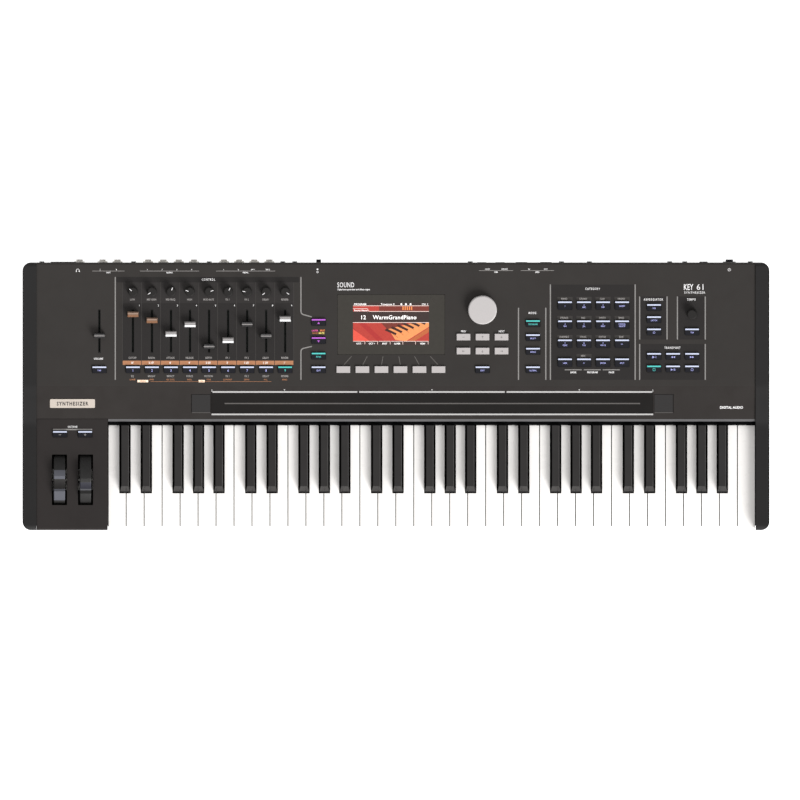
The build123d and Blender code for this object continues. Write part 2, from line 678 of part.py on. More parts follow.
def make_key_frame():
    """The action's frame: base plate, stop beam, pivot rod in its brackets and guide posts."""
    left_end = KEYS_LEFT + 1
    right_end = INNER_RIGHT - 3
    bracket_x = [KEYS_LEFT + OCTAVE * n for n in range(OCTAVES + 1)]
    bracket_x.append(KEYS_LEFT + OCTAVE * OCTAVES + SEMITONE)
    plate_top = FLOOR_TOP + FRAME_PLATE
    beam_front, beam_rear = STOP_BEAM
    rod_start = bracket_x[0] - 3
    rod_length = bracket_x[-1] + 3 - rod_start
    with BuildPart() as frame:
        span_box(left_end, right_end, *FRAME_REACH, FLOOR_TOP, plate_top)
        with BuildSketch(Plane.XY.offset(FLOOR_TOP)):
            with Locations(*BOTTOM_SCREWS, *FOOT_PLACES):
                Circle(SCREW_RADIUS + SCREW_FIT)
        extrude(amount=FRAME_PLATE, mode=Mode.SUBTRACT)
        with Locations(*[(x, PIVOT_Y, FLOOR_TOP) for x in bracket_x]):
            Box(*BRACKET_SIZE, PIVOT_Z + 4 - FLOOR_TOP, align=(Align.CENTER, Align.CENTER, Align.MIN))
        with Locations(*[(x, PIVOT_Y, PIVOT_Z) for x in bracket_x]):
            Cylinder(ROD_RADIUS + ROD_FIT, 8, rotation=(0, 90, 0), mode=Mode.SUBTRACT)
        # the stop beam under the levers is a folded channel
        span_box(left_end, right_end, beam_front, beam_rear, plate_top, STOP_TOP)
        channel = (beam_front + 2, beam_rear - 2, plate_top, STOP_TOP - 2)
        span_box(left_end - 1, right_end + 1, *channel, mode=Mode.SUBTRACT)
        posts = [(KEYS_LEFT + KEY_PITCH * (n + 0.5), POST_Y, FLOOR_TOP) for n in range(WHITE_KEYS)]
        with Locations(*posts):
            Box(*POST_SIZE, align=(Align.CENTER, Align.CENTER, Align.MIN))
        with Locations((rod_start + rod_length / 2, PIVOT_Y, PIVOT_Z)):
            Cylinder(ROD_RADIUS, rod_length, rotation=(0, 90, 0))
    save(frame.part, "key_frame")


# ---------------------------------------------------------------- controls
def make_button_group(name, places, size):
    """Caps standing through the panel, each with a flange that the panel holds in."""
    with BuildPart() as caps:
        with BuildSketch(PANEL.offset(BUTTON_PROUD)):
            with Locations(*[on_panel(x, y) for x, y in places]):
                Rectangle(*size)
        extrude(amount=-(BUTTON_PROUD + BUTTON_DEPTH))
        with BuildSketch(PANEL.offset(-PANEL_SHEET - FLANGE_GAP)):
            with Locations(*[on_panel(x, y) for x, y in places]):
                Rectangle(size[0] + 2 * FLANGE_REACH, size[1] + 2 * FLANGE_REACH)
        extrude(amount=-FLANGE)
    save(caps.part, name)


def make_transpose_buttons():
    """The two caps in the wheel block, whose top is thicker than the panel."""
    width, depth = TRANSPOSE_SIZE
    with BuildPart() as caps:
        with BuildSketch(Plane.XY.offset(LIP_TOP + BUTTON_PROUD)):
            with Locations(*TRANSPOSE_PLACES):
                Rectangle(width, depth)
        extrude(amount=-(BUTTON_PROUD + BUTTON_DEPTH + BLOCK_WALL - PANEL_SHEET))
        with BuildSketch(Plane.XY.offset(LIP_TOP - BLOCK_WALL - FLANGE_GAP)):
            with Locations(*TRANSPOSE_PLACES):
                Rectangle(width + 2 * FLANGE_REACH, depth + 2 * FLANGE_REACH)
        extrude(amount=-FLANGE)
    save(caps.part, "transpose_buttons")


def make_fader_cap(x, setting, name):
    """A fader cap: a ridged finger grip on a thin blade that reaches down through its slot."""
    y = FADER_Y - FADER_TRAVEL / 2 + setting
    u, v = on_panel(x, y)
    with BuildPart() as cap:
        with BuildSketch(PANEL.offset(FADER_CAP_FOOT)):
            with Locations((u, v)):
                Rectangle(*FADER_CAP)
        with BuildSketch(PANEL.offset(FADER_CAP_TOP)):
            with Locations((u, v)):
                Rectangle(*FADER_CAP_CREST)
        loft()
        # a shallow finger dish across the top
        dish = PANEL.shift_origin(PANEL.from_local_coords((u, v, 0)))
        with BuildSketch(Plane(origin=dish.origin, x_dir=dish.y_dir, z_dir=dish.x_dir)):
            with Locations((0, FADER_CAP_TOP + FADER_DISH_RADIUS - FADER_DISH_DEPTH)):
                Circle(FADER_DISH_RADIUS)
        extrude(amount=FADER_CAP[0], both=True, mode=Mode.SUBTRACT)
        with BuildSketch(PANEL.offset(FADER_CAP_FOOT + 0.2)):
            with Locations((u, v)):
                Rectangle(*FADER_BLADE)
        extrude(amount=-(FADER_CAP_FOOT + 0.2 + PANEL_SHEET + 6))
    save(cap.part, name)


def make_knob(x, y, radius, height, setting, name, flutes=0):
    """A knob on its pot shaft. setting turns its pointer groove, in degrees from uphill."""
    u, v = on_panel(x, y)
    skirt = radius * 0.18
    with BuildPart() as knob:
        with BuildSketch(PANEL.offset(KNOB_LIFT)):
            with Locations((u, v)):
                Circle(radius)
        extrude(amount=height * 0.3)
        with BuildSketch(PANEL.offset(KNOB_LIFT + height * 0.3)):
            with Locations((u, v)):
                Circle(radius - skirt * 0.4)
        extrude(amount=height * 0.7, taper=5)
        rim = knob.faces().sort_by(Axis.Z)[-1].edges()
        fillet(rim, radius * 0.12)
        if flutes:
            with BuildSketch(PANEL.offset(KNOB_LIFT + height * 0.4)):
                with Locations((u, v)):
                    with PolarLocations(radius * 1.02, flutes):
                        Circle(radius * 0.1)
            extrude(amount=height, mode=Mode.SUBTRACT)
        if setting is not None:
            with BuildSketch(PANEL.offset(KNOB_LIFT + height)):
                with Locations(Location((u, v, 0), (0, 0, setting))):
                    with Locations((0, radius * 0.62)):
                        Rectangle(radius * 0.16, radius * 0.9)
            extrude(amount=-0.5, mode=Mode.SUBTRACT)
        with BuildSketch(PANEL.offset(KNOB_LIFT)):
            with Locations((u, v)):
                Circle(POT_SHAFT_RADIUS)
        extrude(amount=-(KNOB_LIFT + PANEL_SHEET + POT_DROP))
    save(knob.part, name)


def make_dial():
    """The large data dial: a plain disc with a rounded rim, on its encoder shaft."""
    u, v = on_panel(CURSOR_X, DIAL_Y)
    with BuildPart() as dial:
        with BuildSketch(PANEL.offset(KNOB_LIFT)):
            with Locations((u, v)):
                Circle(DIAL_RADIUS)
        extrude(amount=DIAL_HEIGHT)
        fillet(dial.faces().sort_by(Axis.Z)[-1].edges(), 1.6)
        with BuildSketch(PANEL.offset(KNOB_LIFT)):
            with Locations((u, v)):
                Circle(POT_SHAFT_RADIUS)
        extrude(amount=-(KNOB_LIFT + PANEL_SHEET + POT_DROP))
    save(dial.part, "data_dial")


def make_wheel(x, tilt, name):
    """A performance wheel with a finger notch. tilt turns the notch towards the player."""
    centre = Plane(origin=(x, WHEEL_Y, WHEEL_Z), x_dir=(0, 1, 0), z_dir=(1, 0, 0))
    with BuildPart() as wheel:
        with BuildSketch(centre.offset(-WHEEL_WIDTH / 2)):
            Circle(WHEEL_RADIUS)
            with Locations(Location((0, 0, 0), (0, 0, tilt))):
                with Locations((0, WHEEL_RADIUS + NOTCH_RADIUS - NOTCH_DEPTH)):
                    Circle(NOTCH_RADIUS, mode=Mode.SUBTRACT)
        extrude(amount=WHEEL_WIDTH)
        rims = wheel.faces().sort_by(Axis.X)
        fillet(rims[0].outer_wire().edges() + rims[-1].outer_wire().edges(), 1.2)
        # lightening recesses leave a thin web and a hub
        for side in (-1, 1):
            with BuildSketch(centre.offset(side * WHEEL_WIDTH / 2)):
                Circle(WHEEL_RADIUS - WHEEL_RIM)
                Circle(WHEEL_HUB, mode=Mode.SUBTRACT)
            extrude(amount=-side * (WHEEL_WIDTH - WHEEL_WEB) / 2, mode=Mode.SUBTRACT)
        with Locations((x, WHEEL_Y, WHEEL_Z)):
            Cylinder(WHEEL_AXLE_RADIUS + 0.06, WHEEL_WIDTH + 2, rotation=(0, 90, 0), mode=Mode.SUBTRACT)
    save(wheel.part, name)


def make_wheel_bracket():
    """The bracket under the wheel block: base, three uprights and the axle of both wheels."""
    uprights = (PITCH_X - UPRIGHT_OFFSET, (PITCH_X + MOD_X) / 2, MOD_X + UPRIGHT_OFFSET)
    with BuildPart() as bracket:
        span_box(uprights[0] - 1, uprights[-1] + 1, WHEEL_Y - 14, WHEEL_Y + 14, FLOOR_TOP, FLOOR_TOP + 2)
        with Locations(*[(x, WHEEL_Y, FLOOR_TOP) for x in uprights]):
            Box(2, 22, WHEEL_Z + 8 - FLOOR_TOP, align=(Align.CENTER, Align.CENTER, Align.MIN))
        with Locations(((uprights[0] + uprights[-1]) / 2, WHEEL_Y, WHEEL_Z)):
            Cylinder(WHEEL_AXLE_RADIUS, uprights[-1] - uprights[0] + 8, rotation=(0, 90, 0))
    save(bracket.part, "wheel_bracket")


def make_potentiometers():
    """The bodies under the panel: ten slide pots, nine rotary pots and two encoders."""
    under = PANEL.offset(-PANEL_SHEET - POT_GAP)
    bush_top = 0.4
    with BuildPart() as pots:
        with BuildSketch(under):
            with Locations(*[on_panel(x, FADER_Y) for x in (VOLUME_X, *FADER_XS)]):
                Rectangle(*SLIDE_POT)
                Rectangle(2.4, FADER_SLOT[1], mode=Mode.SUBTRACT)
        extrude(amount=-POT_BODY)
        rotary = [on_panel(x, KNOB_Y) for x in FADER_XS]
        rotary += [on_panel(TEMPO_X, TEMPO_Y), on_panel(CURSOR_X, DIAL_Y)]
        with BuildSketch(under):
            with Locations(*rotary):
                Rectangle(*ROTARY_POT)
        extrude(amount=-POT_BODY)
        with BuildSketch(PANEL.offset(bush_top)):
            with Locations(*rotary):
                Circle(POT_BUSH_RADIUS)
        extrude(amount=-(bush_top + PANEL_SHEET + POT_GAP))
        with BuildSketch(PANEL.offset(bush_top)):
            with Locations(*rotary):
                Circle(POT_SHAFT_RADIUS + POT_FIT)
        extrude(amount=-(bush_top + PANEL_SHEET + POT_DROP + 0.3), mode=Mode.SUBTRACT)
    save(pots.part, "potentiometers")


def make_ribbon():
    """The ribbon strip and its two end pads, each flanged under the band."""
    with BuildPart() as ribbon:
        for lift, reach, depth in ((0.3, 0, 2.5), (-PANEL_SHEET - 0.1, 2.5, 1.6)):
            with BuildSketch(BAND.offset(lift)):
                with Locations(on_band(*RIBBON_CENTRE)):
                    Rectangle(RIBBON_SIZE[0] + reach, RIBBON_SIZE[1] + reach)
                with Locations(*[on_band(x, RIBBON_CENTRE[1]) for x in RIBBON_PAD_X]):
                    Rectangle(RIBBON_PAD[0] + reach / 4, RIBBON_PAD[1] + reach)
            extrude(amount=-depth)
    save(ribbon.part, "ribbon_controller")


def make_display():
    """The display: a clear window set in the panel and the LCD module behind it."""
    with BuildPart() as window:
        with BuildSketch(PANEL.offset(0.25)):
            with Locations(on_panel(*DISPLAY_CENTRE)):
                RectangleRounded(*DISPLAY_SIZE, 1.5)
        extrude(amount=-2.25)
        with BuildSketch(PANEL.offset(-PANEL_SHEET - 0.1)):
            with Locations(on_panel(*DISPLAY_CENTRE)):
                Rectangle(DISPLAY_SIZE[0] - 24, DISPLAY_SIZE[1] - 8)
        extrude(amount=-5)
    save(window.part, "display")


def make_nameplate():
    """The ivory badge on the band, left of the ribbon."""
    with BuildPart() as plate:
        with BuildSketch(BAND):
            with Locations(on_band(*NAMEPLATE_PLACE)):
                RectangleRounded(*NAMEPLATE_SIZE, 1.4)
        extrude(amount=NAMEPLATE_THICKNESS)
    save(plate.part, "nameplate")


# ---------------------------------------------------------------- rear controls and sockets
def make_rear_sockets():
    """Eleven quarter-inch jacks with nuts, two MIDI and two USB sockets, inlet, switch frame."""
    with BuildPart() as sockets:
        with BuildSketch(BACK.offset(-SHEET - 0.1)):
            with Locations(*back_places(JACK_X, JACK_Z)):
                Rectangle(*JACK_BODY[:2])
        extrude(amount=-JACK_BODY[2])
        with BuildSketch(BACK.offset(-SHEET - 0.1)):
            with Locations(*back_places(JACK_X, JACK_Z)):
                Circle(JACK_BUSH_RADIUS)
        extrude(amount=SHEET + 0.1 + JACK_PROUD)
        with BuildSketch(BACK.offset(0.05)):
            with Locations(*back_places(JACK_X, JACK_Z)):
                RegularPolygon(JACK_NUT_RADIUS, 6)
        extrude(amount=JACK_NUT)
        with BuildSketch(BACK.offset(JACK_PROUD)):
            with Locations(*back_places(JACK_X, JACK_Z)):
                Circle(JACK_BORE)
        extrude(amount=-JACK_DEPTH, mode=Mode.SUBTRACT)
        # the pot behind the input level knob
        with BuildSketch(BACK.offset(-SHEET - 0.1)):
            with Locations((-GAIN_X, JACK_Z)):
                Rectangle(GAIN_POT, GAIN_POT)
                Circle(GAIN_RADIUS + POT_FIT, mode=Mode.SUBTRACT)
        extrude(amount=-6.4)
        with BuildSketch(BACK.offset(-SHEET - 6.4)):
            with Locations((-GAIN_X, JACK_Z)):
                Rectangle(GAIN_POT, GAIN_POT)
        extrude(amount=-4)
        # five-pin sockets
        with BuildSketch(BACK.offset(0.6)):
            with Locations(*back_places(MIDI_X, JACK_Z)):
                Circle(MIDI_RADIUS)
        extrude(amount=-MIDI_LENGTH)
        for x in MIDI_X:
            with BuildSketch(BACK.offset(0.6)):
                with Locations((-x, JACK_Z)):
                    Circle(MIDI_RADIUS - 0.9)
                    Circle(MIDI_RADIUS - 2.0, mode=Mode.SUBTRACT)
                    with PolarLocations(MIDI_PIN_CIRCLE, 5, start_angle=0, angular_range=180):
                        Circle(0.8)
            extrude(amount=-10, mode=Mode.SUBTRACT)
        # the two USB sockets: a metal shell with a tongue
        with BuildSketch(BACK.offset(0.4)):
            with Locations(*back_places(USB_X, JACK_Z)):
                Rectangle(*USB_SHELL)
        extrude(amount=-USB_LENGTH)
        with BuildSketch(BACK.offset(0.4)):
            with Locations(*back_places(USB_X, JACK_Z)):
                Rectangle(USB_SHELL[0] - 2.4, USB_SHELL[1] - 2.4)
                Rectangle(USB_SHELL[0] - 5.2, 3.4, mode=Mode.SUBTRACT)
        extrude(amount=-9, mode=Mode.SUBTRACT)
        # power inlet: a barrel with its pin
        with BuildSketch(BACK.offset(SOCKET_PROUD)):
            with Locations((-INLET_X, JACK_Z)):
                Circle(INLET_RADIUS)
        extrude(amount=-INLET_LENGTH)
        with BuildSketch(BACK.offset(SOCKET_PROUD)):
            with Locations((-INLET_X, JACK_Z)):
                Circle(3.1)
                Circle(1.1, mode=Mode.SUBTRACT)
        extrude(amount=-11, mode=Mode.SUBTRACT)
        # switch frame
        with BuildSketch(BACK.offset(SOCKET_PROUD)):
            with Locations((-SWITCH_X, JACK_Z)):
                Rectangle(SWITCH_BODY[0] + 2.4, SWITCH_BODY[1] + 2.4)
                Rectangle(ROCKER_SIZE[0] + 0.8, ROCKER_SIZE[1] + 2.2, mode=Mode.SUBTRACT)
        extrude(amount=-1.1)
        with BuildSketch(BACK.offset(0.11)):
            with Locations((-SWITCH_X, JACK_Z)):
                Rectangle(*SWITCH_BODY)
                Rectangle(ROCKER_SIZE[0] + 0.8, ROCKER_SIZE[1] + 2.2, mode=Mode.SUBTRACT)
        extrude(amount=-SWITCH_LENGTH)
        with BuildSketch(BACK.offset(0.2 - SWITCH_LENGTH)):
            with Locations((-SWITCH_X, JACK_Z)):
                Rectangle(*SWITCH_BODY)
        extrude(amount=-3)
    save(sockets.part, "rear_sockets")


def make_power_rocker():
    """The rocker in the switch frame, tipped to its off side."""
    half_length = ROCKER_SIZE[1] / 2
    half_width = ROCKER_SIZE[0] / 2
    end = Plane(origin=(SWITCH_X - half_width, ROCKER_PIVOT_Y, JACK_Z), x_dir=(0, 1, 0), z_dir=(1, 0, 0))
    with BuildPart() as rocker:
        with BuildSketch(end):
            with BuildLine():
                Polyline(
                    (-4.0, -half_length * 0.55),
                    (1.6, -half_length),
                    (5.4, -half_length),
                    (3.4, 0),
                    (5.4, half_length),
                    (1.6, half_length),
                    (-4.0, half_length * 0.55),
                    close=True,
                )
            make_face()
        extrude(amount=ROCKER_SIZE[0])
    pivot = Axis((SWITCH_X, ROCKER_PIVOT_Y, JACK_Z), (1, 0, 0))
    save(rocker.part.rotate(pivot, -ROCKER_TILT), "power_rocker")


def make_gain_knob():
    """The small input level knob on the back."""
    with BuildPart() as knob:
        with BuildSketch(BACK.offset(JACK_PROUD)):
            with Locations((-GAIN_X, JACK_Z)):
                Circle(GAIN_RADIUS)
                with Locations((0, GAIN_RADIUS)):
                    Rectangle(0.8, 1.2, mode=Mode.SUBTRACT)
        extrude(amount=-(JACK_PROUD + SHEET + 6))
    save(knob.part, "gain_knob")


# ---------------------------------------------------------------- inside and fasteners
def make_feet():
    """Six rubber feet, each with a recess for the head of its screw."""
    with BuildPart() as feet:
        with BuildSketch(Plane.XY):
            with Locations(*FOOT_PLACES):
                Circle(FOOT_RADIUS)
        extrude(amount=FOOT_HEIGHT)
        fillet(feet.edges().group_by(Axis.Z)[0], 1.5)
        with BuildSketch(Plane.XY):
            with Locations(*FOOT_PLACES):
                Circle(FOOT_RECESS[0])
        extrude(amount=FOOT_RECESS[1], mode=Mode.SUBTRACT)
        with BuildSketch(Plane.XY):
            with Locations(*FOOT_PLACES):
                Circle(SCREW_RADIUS + SCREW_FIT)
        extrude(amount=FOOT_HEIGHT, mode=Mode.SUBTRACT)
    save(feet.part, "rubber_feet")


def make_screws():
    """Pan-head screws: through the feet, up through the pan and in through the rear panel."""
    with BuildPart() as screws:
        with BuildSketch(Plane.XY.offset(FOOT_HEIGHT - 0.05)):
            with Locations(*BOTTOM_SCREWS):
                Circle(SCREW_HEAD)
        extrude(amount=-HEAD_HEIGHT)
        with BuildSketch(Plane.XY.offset(FOOT_RECESS[1] - 0.05)):
            with Locations(*FOOT_PLACES):
                Circle(SCREW_HEAD)
        extrude(amount=-HEAD_HEIGHT)
        with BuildSketch(Plane.XY.offset(2)):
            with Locations(*FOOT_PLACES):
                Circle(SCREW_RADIUS)
        extrude(amount=FLOOR_TOP + 2)
        with BuildSketch(Plane.XY.offset(FOOT_HEIGHT - 1)):
            with Locations(*BOTTOM_SCREWS):
                Circle(SCREW_RADIUS)
        extrude(amount=SHEET + 5)
        rear = [(-x, z) for x in REAR_SCREW_X for z in REAR_SCREW_Z]
        with BuildSketch(BACK.offset(0.05)):
            with Locations(*rear):
                Circle(SCREW_HEAD)
        extrude(amount=1.4)
        with BuildSketch(BACK.offset(1)):
            with Locations(*rear):
                Circle(SCREW_RADIUS)
        extrude(amount=-(SHEET + 6))
    save(screws.part, "case_screws")


def make_boards():
    """The circuit boards: main and power boards, the key contacts and the two panel boards."""
    main_z = FLOOR_TOP + BOARD_LIFT
    board_top = main_z + BOARD
    standing = (Align.CENTER, Align.CENTER, Align.MIN)
    contact_left = KEYS_LEFT + 4
    contact_right = KEYS_LEFT + WHITE_KEYS * KEY_PITCH - 4
    switch_places = [place for places, size in BUTTON_GROUPS.values() for place in places]
    with BuildPart() as boards:
        span_box(*MAIN_BOARD, main_z, board_top)
        for x, y, width, depth, height in MAIN_CHIPS:
            with Locations((x, y, board_top)):
                Box(width, depth, height, align=standing)
        span_box(*POWER_BOARD, main_z, board_top)
        for x in CAPACITOR_X:
            with Locations((x, (POWER_BOARD[2] + POWER_BOARD[3]) / 2, board_top)):
                Cylinder(*CAPACITOR, align=standing)
        # key contacts: a long board with a rubber dome strip
        span_box(contact_left, contact_right, *CONTACT_BOARD, CONTACT_Z, CONTACT_Z + BOARD)
        span_box(contact_left, contact_right, *DOME_STRIP, CONTACT_Z, DOME_TOP)
        # the panel board hangs under the buttons and carries a switch for each
        with BuildSketch(PANEL.offset(-PANEL_SHEET - PANEL_BOARD_DROP)):
            with Locations(on_panel(*PANEL_BOARD_PLACE)):
                Rectangle(*PANEL_BOARD_SIZE)
        extrude(amount=-BOARD)
        with BuildSketch(PANEL.offset(-PANEL_SHEET - PANEL_BOARD_DROP)):
            with Locations(*[on_panel(x, y) for x, y in switch_places]):
                Rectangle(SWITCH_SIZE, SWITCH_SIZE)
        extrude(amount=SWITCH_HEIGHT)
    save(boards.part, "circuit_boards")


# ---------------------------------------------------------------- build everything
make_top_panel()
make_cheek(-1, "left_cheek")
make_cheek(1, "right_cheek")
make_bottom_pan()
make_rear_panel()
make_front_rail()
make_wheel_panel()
make_keys()
make_key_frame()
for group_name, (group_places, cap_size) in BUTTON_GROUPS.items():
    make_button_group(group_name, group_places, cap_size)
make_transpose_buttons()
for number, (x, setting) in enumerate(zip(FADER_XS, FADER_SETTINGS), start=1):
    make_fader_cap(x, setting, f"fader_{number}")
make_fader_cap(VOLUME_X, VOLUME_SETTING, "volume_fader")
for number, (x, setting) in enumerate(zip(FADER_XS, KNOB_SETTINGS), start=1):
    make_knob(x, KNOB_Y, KNOB_RADIUS, KNOB_HEIGHT, setting, f"knob_{number}")
make_knob(TEMPO_X, TEMPO_Y, TEMPO_RADIUS, TEMPO_HEIGHT, None, "tempo_knob", flutes=TEMPO_FLUTES)
make_dial()
make_wheel(PITCH_X, PITCH_REST_TILT, "pitch_wheel")
make_wheel(MOD_X, MOD_REST_TILT, "mod_wheel")
make_wheel_bracket()
make_potentiometers()
make_ribbon()
make_display()
make_nameplate()
make_rear_sockets()
make_power_rocker()
make_gain_knob()
make_feet()
make_screws()
make_boards()
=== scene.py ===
"""Looks of the synthesizer: finishes for the CAD nodes, and the print, lamps, screen and trims on them.

Lengths in the layout are millimetres in plan, measured from the middle of the case, as on a drawing of
its top. A Surface turns them into points of the shared frame, in metres.
"""

import json
import math

import bmesh
import bpy
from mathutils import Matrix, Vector


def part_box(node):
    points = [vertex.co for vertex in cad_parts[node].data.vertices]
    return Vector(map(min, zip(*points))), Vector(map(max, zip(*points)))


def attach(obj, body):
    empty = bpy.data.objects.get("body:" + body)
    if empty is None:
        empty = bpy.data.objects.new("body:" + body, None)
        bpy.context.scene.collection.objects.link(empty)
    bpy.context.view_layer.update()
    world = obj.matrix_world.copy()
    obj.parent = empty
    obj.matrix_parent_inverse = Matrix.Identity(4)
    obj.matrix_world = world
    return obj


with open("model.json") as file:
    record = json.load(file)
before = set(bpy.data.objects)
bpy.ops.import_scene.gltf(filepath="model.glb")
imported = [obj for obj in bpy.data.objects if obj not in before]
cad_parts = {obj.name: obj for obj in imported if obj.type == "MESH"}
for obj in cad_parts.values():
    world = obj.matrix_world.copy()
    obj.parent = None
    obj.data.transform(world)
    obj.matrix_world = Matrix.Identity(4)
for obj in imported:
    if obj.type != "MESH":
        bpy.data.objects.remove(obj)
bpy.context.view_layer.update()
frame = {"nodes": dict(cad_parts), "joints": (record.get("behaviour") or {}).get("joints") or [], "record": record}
bpy.context.scene.view_settings.view_transform = "Standard"

MM = 0.001
joints = {joint["name"]: joint for joint in frame["joints"]}
nodes = frame["nodes"]
cheek_low, cheek_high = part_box("left_cheek")
CASE_Y = (cheek_low.y + cheek_high.y) / 2 / MM


# ---------------------------------------------------------------- surfaces of the case
class Surface:
    """A flat face of the case: a point on it and its outward normal."""

    def __init__(self, point, normal):
        self.point = Vector(point)
        self.normal = Vector(normal).normalized()

    def at(self, x, y, height=0.0):
        """The frame point above plan position (x, y), raised off the face by height."""
        flat = Vector((x * MM, (y + CASE_Y) * MM, 0.0))
        away = flat - self.point
        n = self.normal
        drop = (n.x * away.x + n.y * away.y) / n.z
        return Vector((flat.x, flat.y, self.point.z - drop)) + n * (height * MM)


def sloped(degrees):
    return (0, -math.sin(math.radians(degrees)), math.cos(math.radians(degrees)))


CREASE_Y = 13.3
VIEW_WIDTH = 1045.8
VIEW_MIDDLE = (5.2, -4.8)
BAND_SLOPE = 14.0
knob_joint = joints["knob_1_turn"]
PANEL = Surface(knob_joint["pos_m"], knob_joint["axis"])
BAND = Surface(PANEL.at(0, CREASE_Y), sloped(BAND_SLOPE))
BLOCK = Surface((0, 0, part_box("wheel_panel")[1].z), (0, 0, 1))
rear_face_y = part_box("rear_panel")[1].y / MM - 1.0


# ---------------------------------------------------------------- finishes
def srgb(red, green, blue):
    """A linear colour from 0-255 screen values."""
    linear = []
    for value in (red, green, blue):
        value /= 255
        linear.append(value / 12.92 if value <= 0.04045 else ((value + 0.055) / 1.055) ** 2.4)
    return (*linear, 1.0)


def scaled(colour, factor):
    return (*[min(1.0, channel * factor) for channel in colour[:3]], 1.0)


class Finish:
    """A node material being put together, with short calls for the nodes that it needs."""

    def __init__(self, name):
        self.material = bpy.data.materials.new(name)
        self.material.use_nodes = True
        self.tree = self.material.node_tree
        self.shader = self.tree.nodes["Principled BSDF"]
        self.place = self.node("TexCoord").outputs["Object"]

    def node(self, kind):
        return self.tree.nodes.new(f"ShaderNode{kind}")

    def feed(self, socket, value):
        """Links another node's output into a socket, or sets the socket to a constant."""
        if isinstance(value, bpy.types.NodeSocket):
            self.tree.links.new(value, socket)
        else:
            socket.default_value = value

    def put(self, name, value):
        """Feeds an input of the shader itself."""
        self.feed(self.shader.inputs[name], value)

    def noise(self, per_metre, detail=3.0, stretch=(1, 1, 1)):
        """A noise value whose cells are about 1 / per_metre long, in the node's own frame."""
        mapping = self.node("Mapping")
        self.feed(mapping.inputs["Scale"], stretch)
        self.feed(mapping.inputs["Vector"], self.place)
        noise = self.node("TexNoise")
        self.feed(noise.inputs["Scale"], per_metre)
        self.feed(noise.inputs["Detail"], detail)
        self.feed(noise.inputs["Vector"], mapping.outputs["Vector"])
        return noise.outputs["Fac"]

    def ramp(self, value, low, high, start=0.35, end=0.65):
        """Colour or grey from low to high as value goes from start to end."""
        ramp = self.node("ValToRGB")
        first, last = ramp.color_ramp.elements
        first.position, last.position = start, end
        first.color = low if isinstance(low, tuple) else (low, low, low, 1)
        last.color = high if isinstance(high, tuple) else (high, high, high, 1)
        self.feed(ramp.inputs["Fac"], value)
        return ramp.outputs["Color"]

    def math(self, operation, a, b=0.0):
        node = self.node("Math")
        node.operation = operation
        for socket, value in zip(node.inputs, (a, b)):
            self.feed(socket, value)
        return node.outputs[0]

    def between(self, value, low, high):
        """One where value is between two constants, or else zero."""
        above = self.math("GREATER_THAN", value, low)
        return self.math("MULTIPLY", above, self.math("LESS_THAN", value, high))

    def axis(self, index):
        """One coordinate of the shaded point in the node's own frame, in metres."""
        split = self.node("SeparateXYZ")
        self.feed(split.inputs[0], self.place)
        return split.outputs[index]

    def mix(self, amount, a, b, blend="MIX"):
        mix = self.node("Mix")
        mix.data_type = "RGBA"
        mix.blend_type = blend
        for index, value in ((0, amount), (6, a), (7, b)):
            self.feed(mix.inputs[index], value)
        return mix.outputs[2]

    def normals(self, height=None, depth=0.0, edge=0.0):
        """Rounds sharp edges in the shading by edge mm, with bumps depth mm deep from height."""
        normal = None
        if edge:
            bevel = self.node("Bevel")
            bevel.samples = 4
            self.feed(bevel.inputs["Radius"], edge * MM)
            normal = bevel.outputs["Normal"]
        if height is not None:
            bump = self.node("Bump")
            self.feed(bump.inputs["Distance"], depth * MM)
            self.feed(bump.inputs["Height"], height)
            if normal is not None:
                self.feed(bump.inputs["Normal"], normal)
            normal = bump.outputs["Normal"]
        self.put("Normal", normal)


def moulded(name, colour, roughness, grain, depth, shift, edge=0.3, specular=0.4, coat=0.0):
    """Moulded plastic or powder coat: fine grain, faint cloudiness and polished high spots."""
    finish = Finish(name)
    clouds = finish.noise(14, 4)
    tint = finish.ramp(clouds, scaled(colour, 1 - shift), scaled(colour, 1 + shift))
    fine = finish.noise(grain, 2)
    speck = finish.ramp(fine, 0.0, 1.0, 0.3, 0.75)
    finish.put("Base Color", finish.mix(finish.math("MULTIPLY", speck, 0.25), tint, scaled(colour, 1.5)))
    rub = finish.ramp(finish.noise(45, 5), roughness - 0.06, roughness + 0.08)
    finish.put("Roughness", rub)
    finish.put("Specular IOR Level", specular)
    finish.put("Coat Weight", coat)
    finish.normals(fine, depth, edge)
    return finish.material


def metal(name, colour, roughness=0.3, stretch=(1, 1, 1), edge=0.2):
    """Plated or brushed metal: streaks along the long direction and slight dulling."""
    finish = Finish(name)
    streak = finish.noise(900, 3, stretch)
    tint = finish.ramp(streak, scaled(colour, 0.85), scaled(colour, 1.1))
    finish.put("Base Color", tint)
    dull = finish.ramp(finish.noise(60, 4), roughness - 0.07, roughness + 0.12)
    finish.put("Roughness", dull)
    finish.put("Metallic", 1.0)
    finish.normals(streak, 0.01, edge)
    return finish.material


def ink(name, colour, roughness=0.55, glow=0.0):
    """Screen-printed ink or a lit lamp: a little uneven in coverage, glowing by glow. On lamps and the screen the
    glow is their light; on print it is a painted glow that brightens it.
    """
    finish = Finish(name)
    cover = finish.ramp(finish.noise(700, 3), scaled(colour, 0.9), scaled(colour, 1.04))
    finish.put("Base Color", cover)
    finish.put("Roughness", roughness)
    finish.put("Specular IOR Level", 0.25)
    if glow:
        finish.put("Emission Color", cover)
        finish.put("Emission Strength", glow)
    return finish.material


def dress(node, material):
    """Gives a CAD node its finish."""
    if not nodes[node].material_slots:
        nodes[node].data.materials.append(material)
    for place in nodes[node].material_slots:
        place.material = material


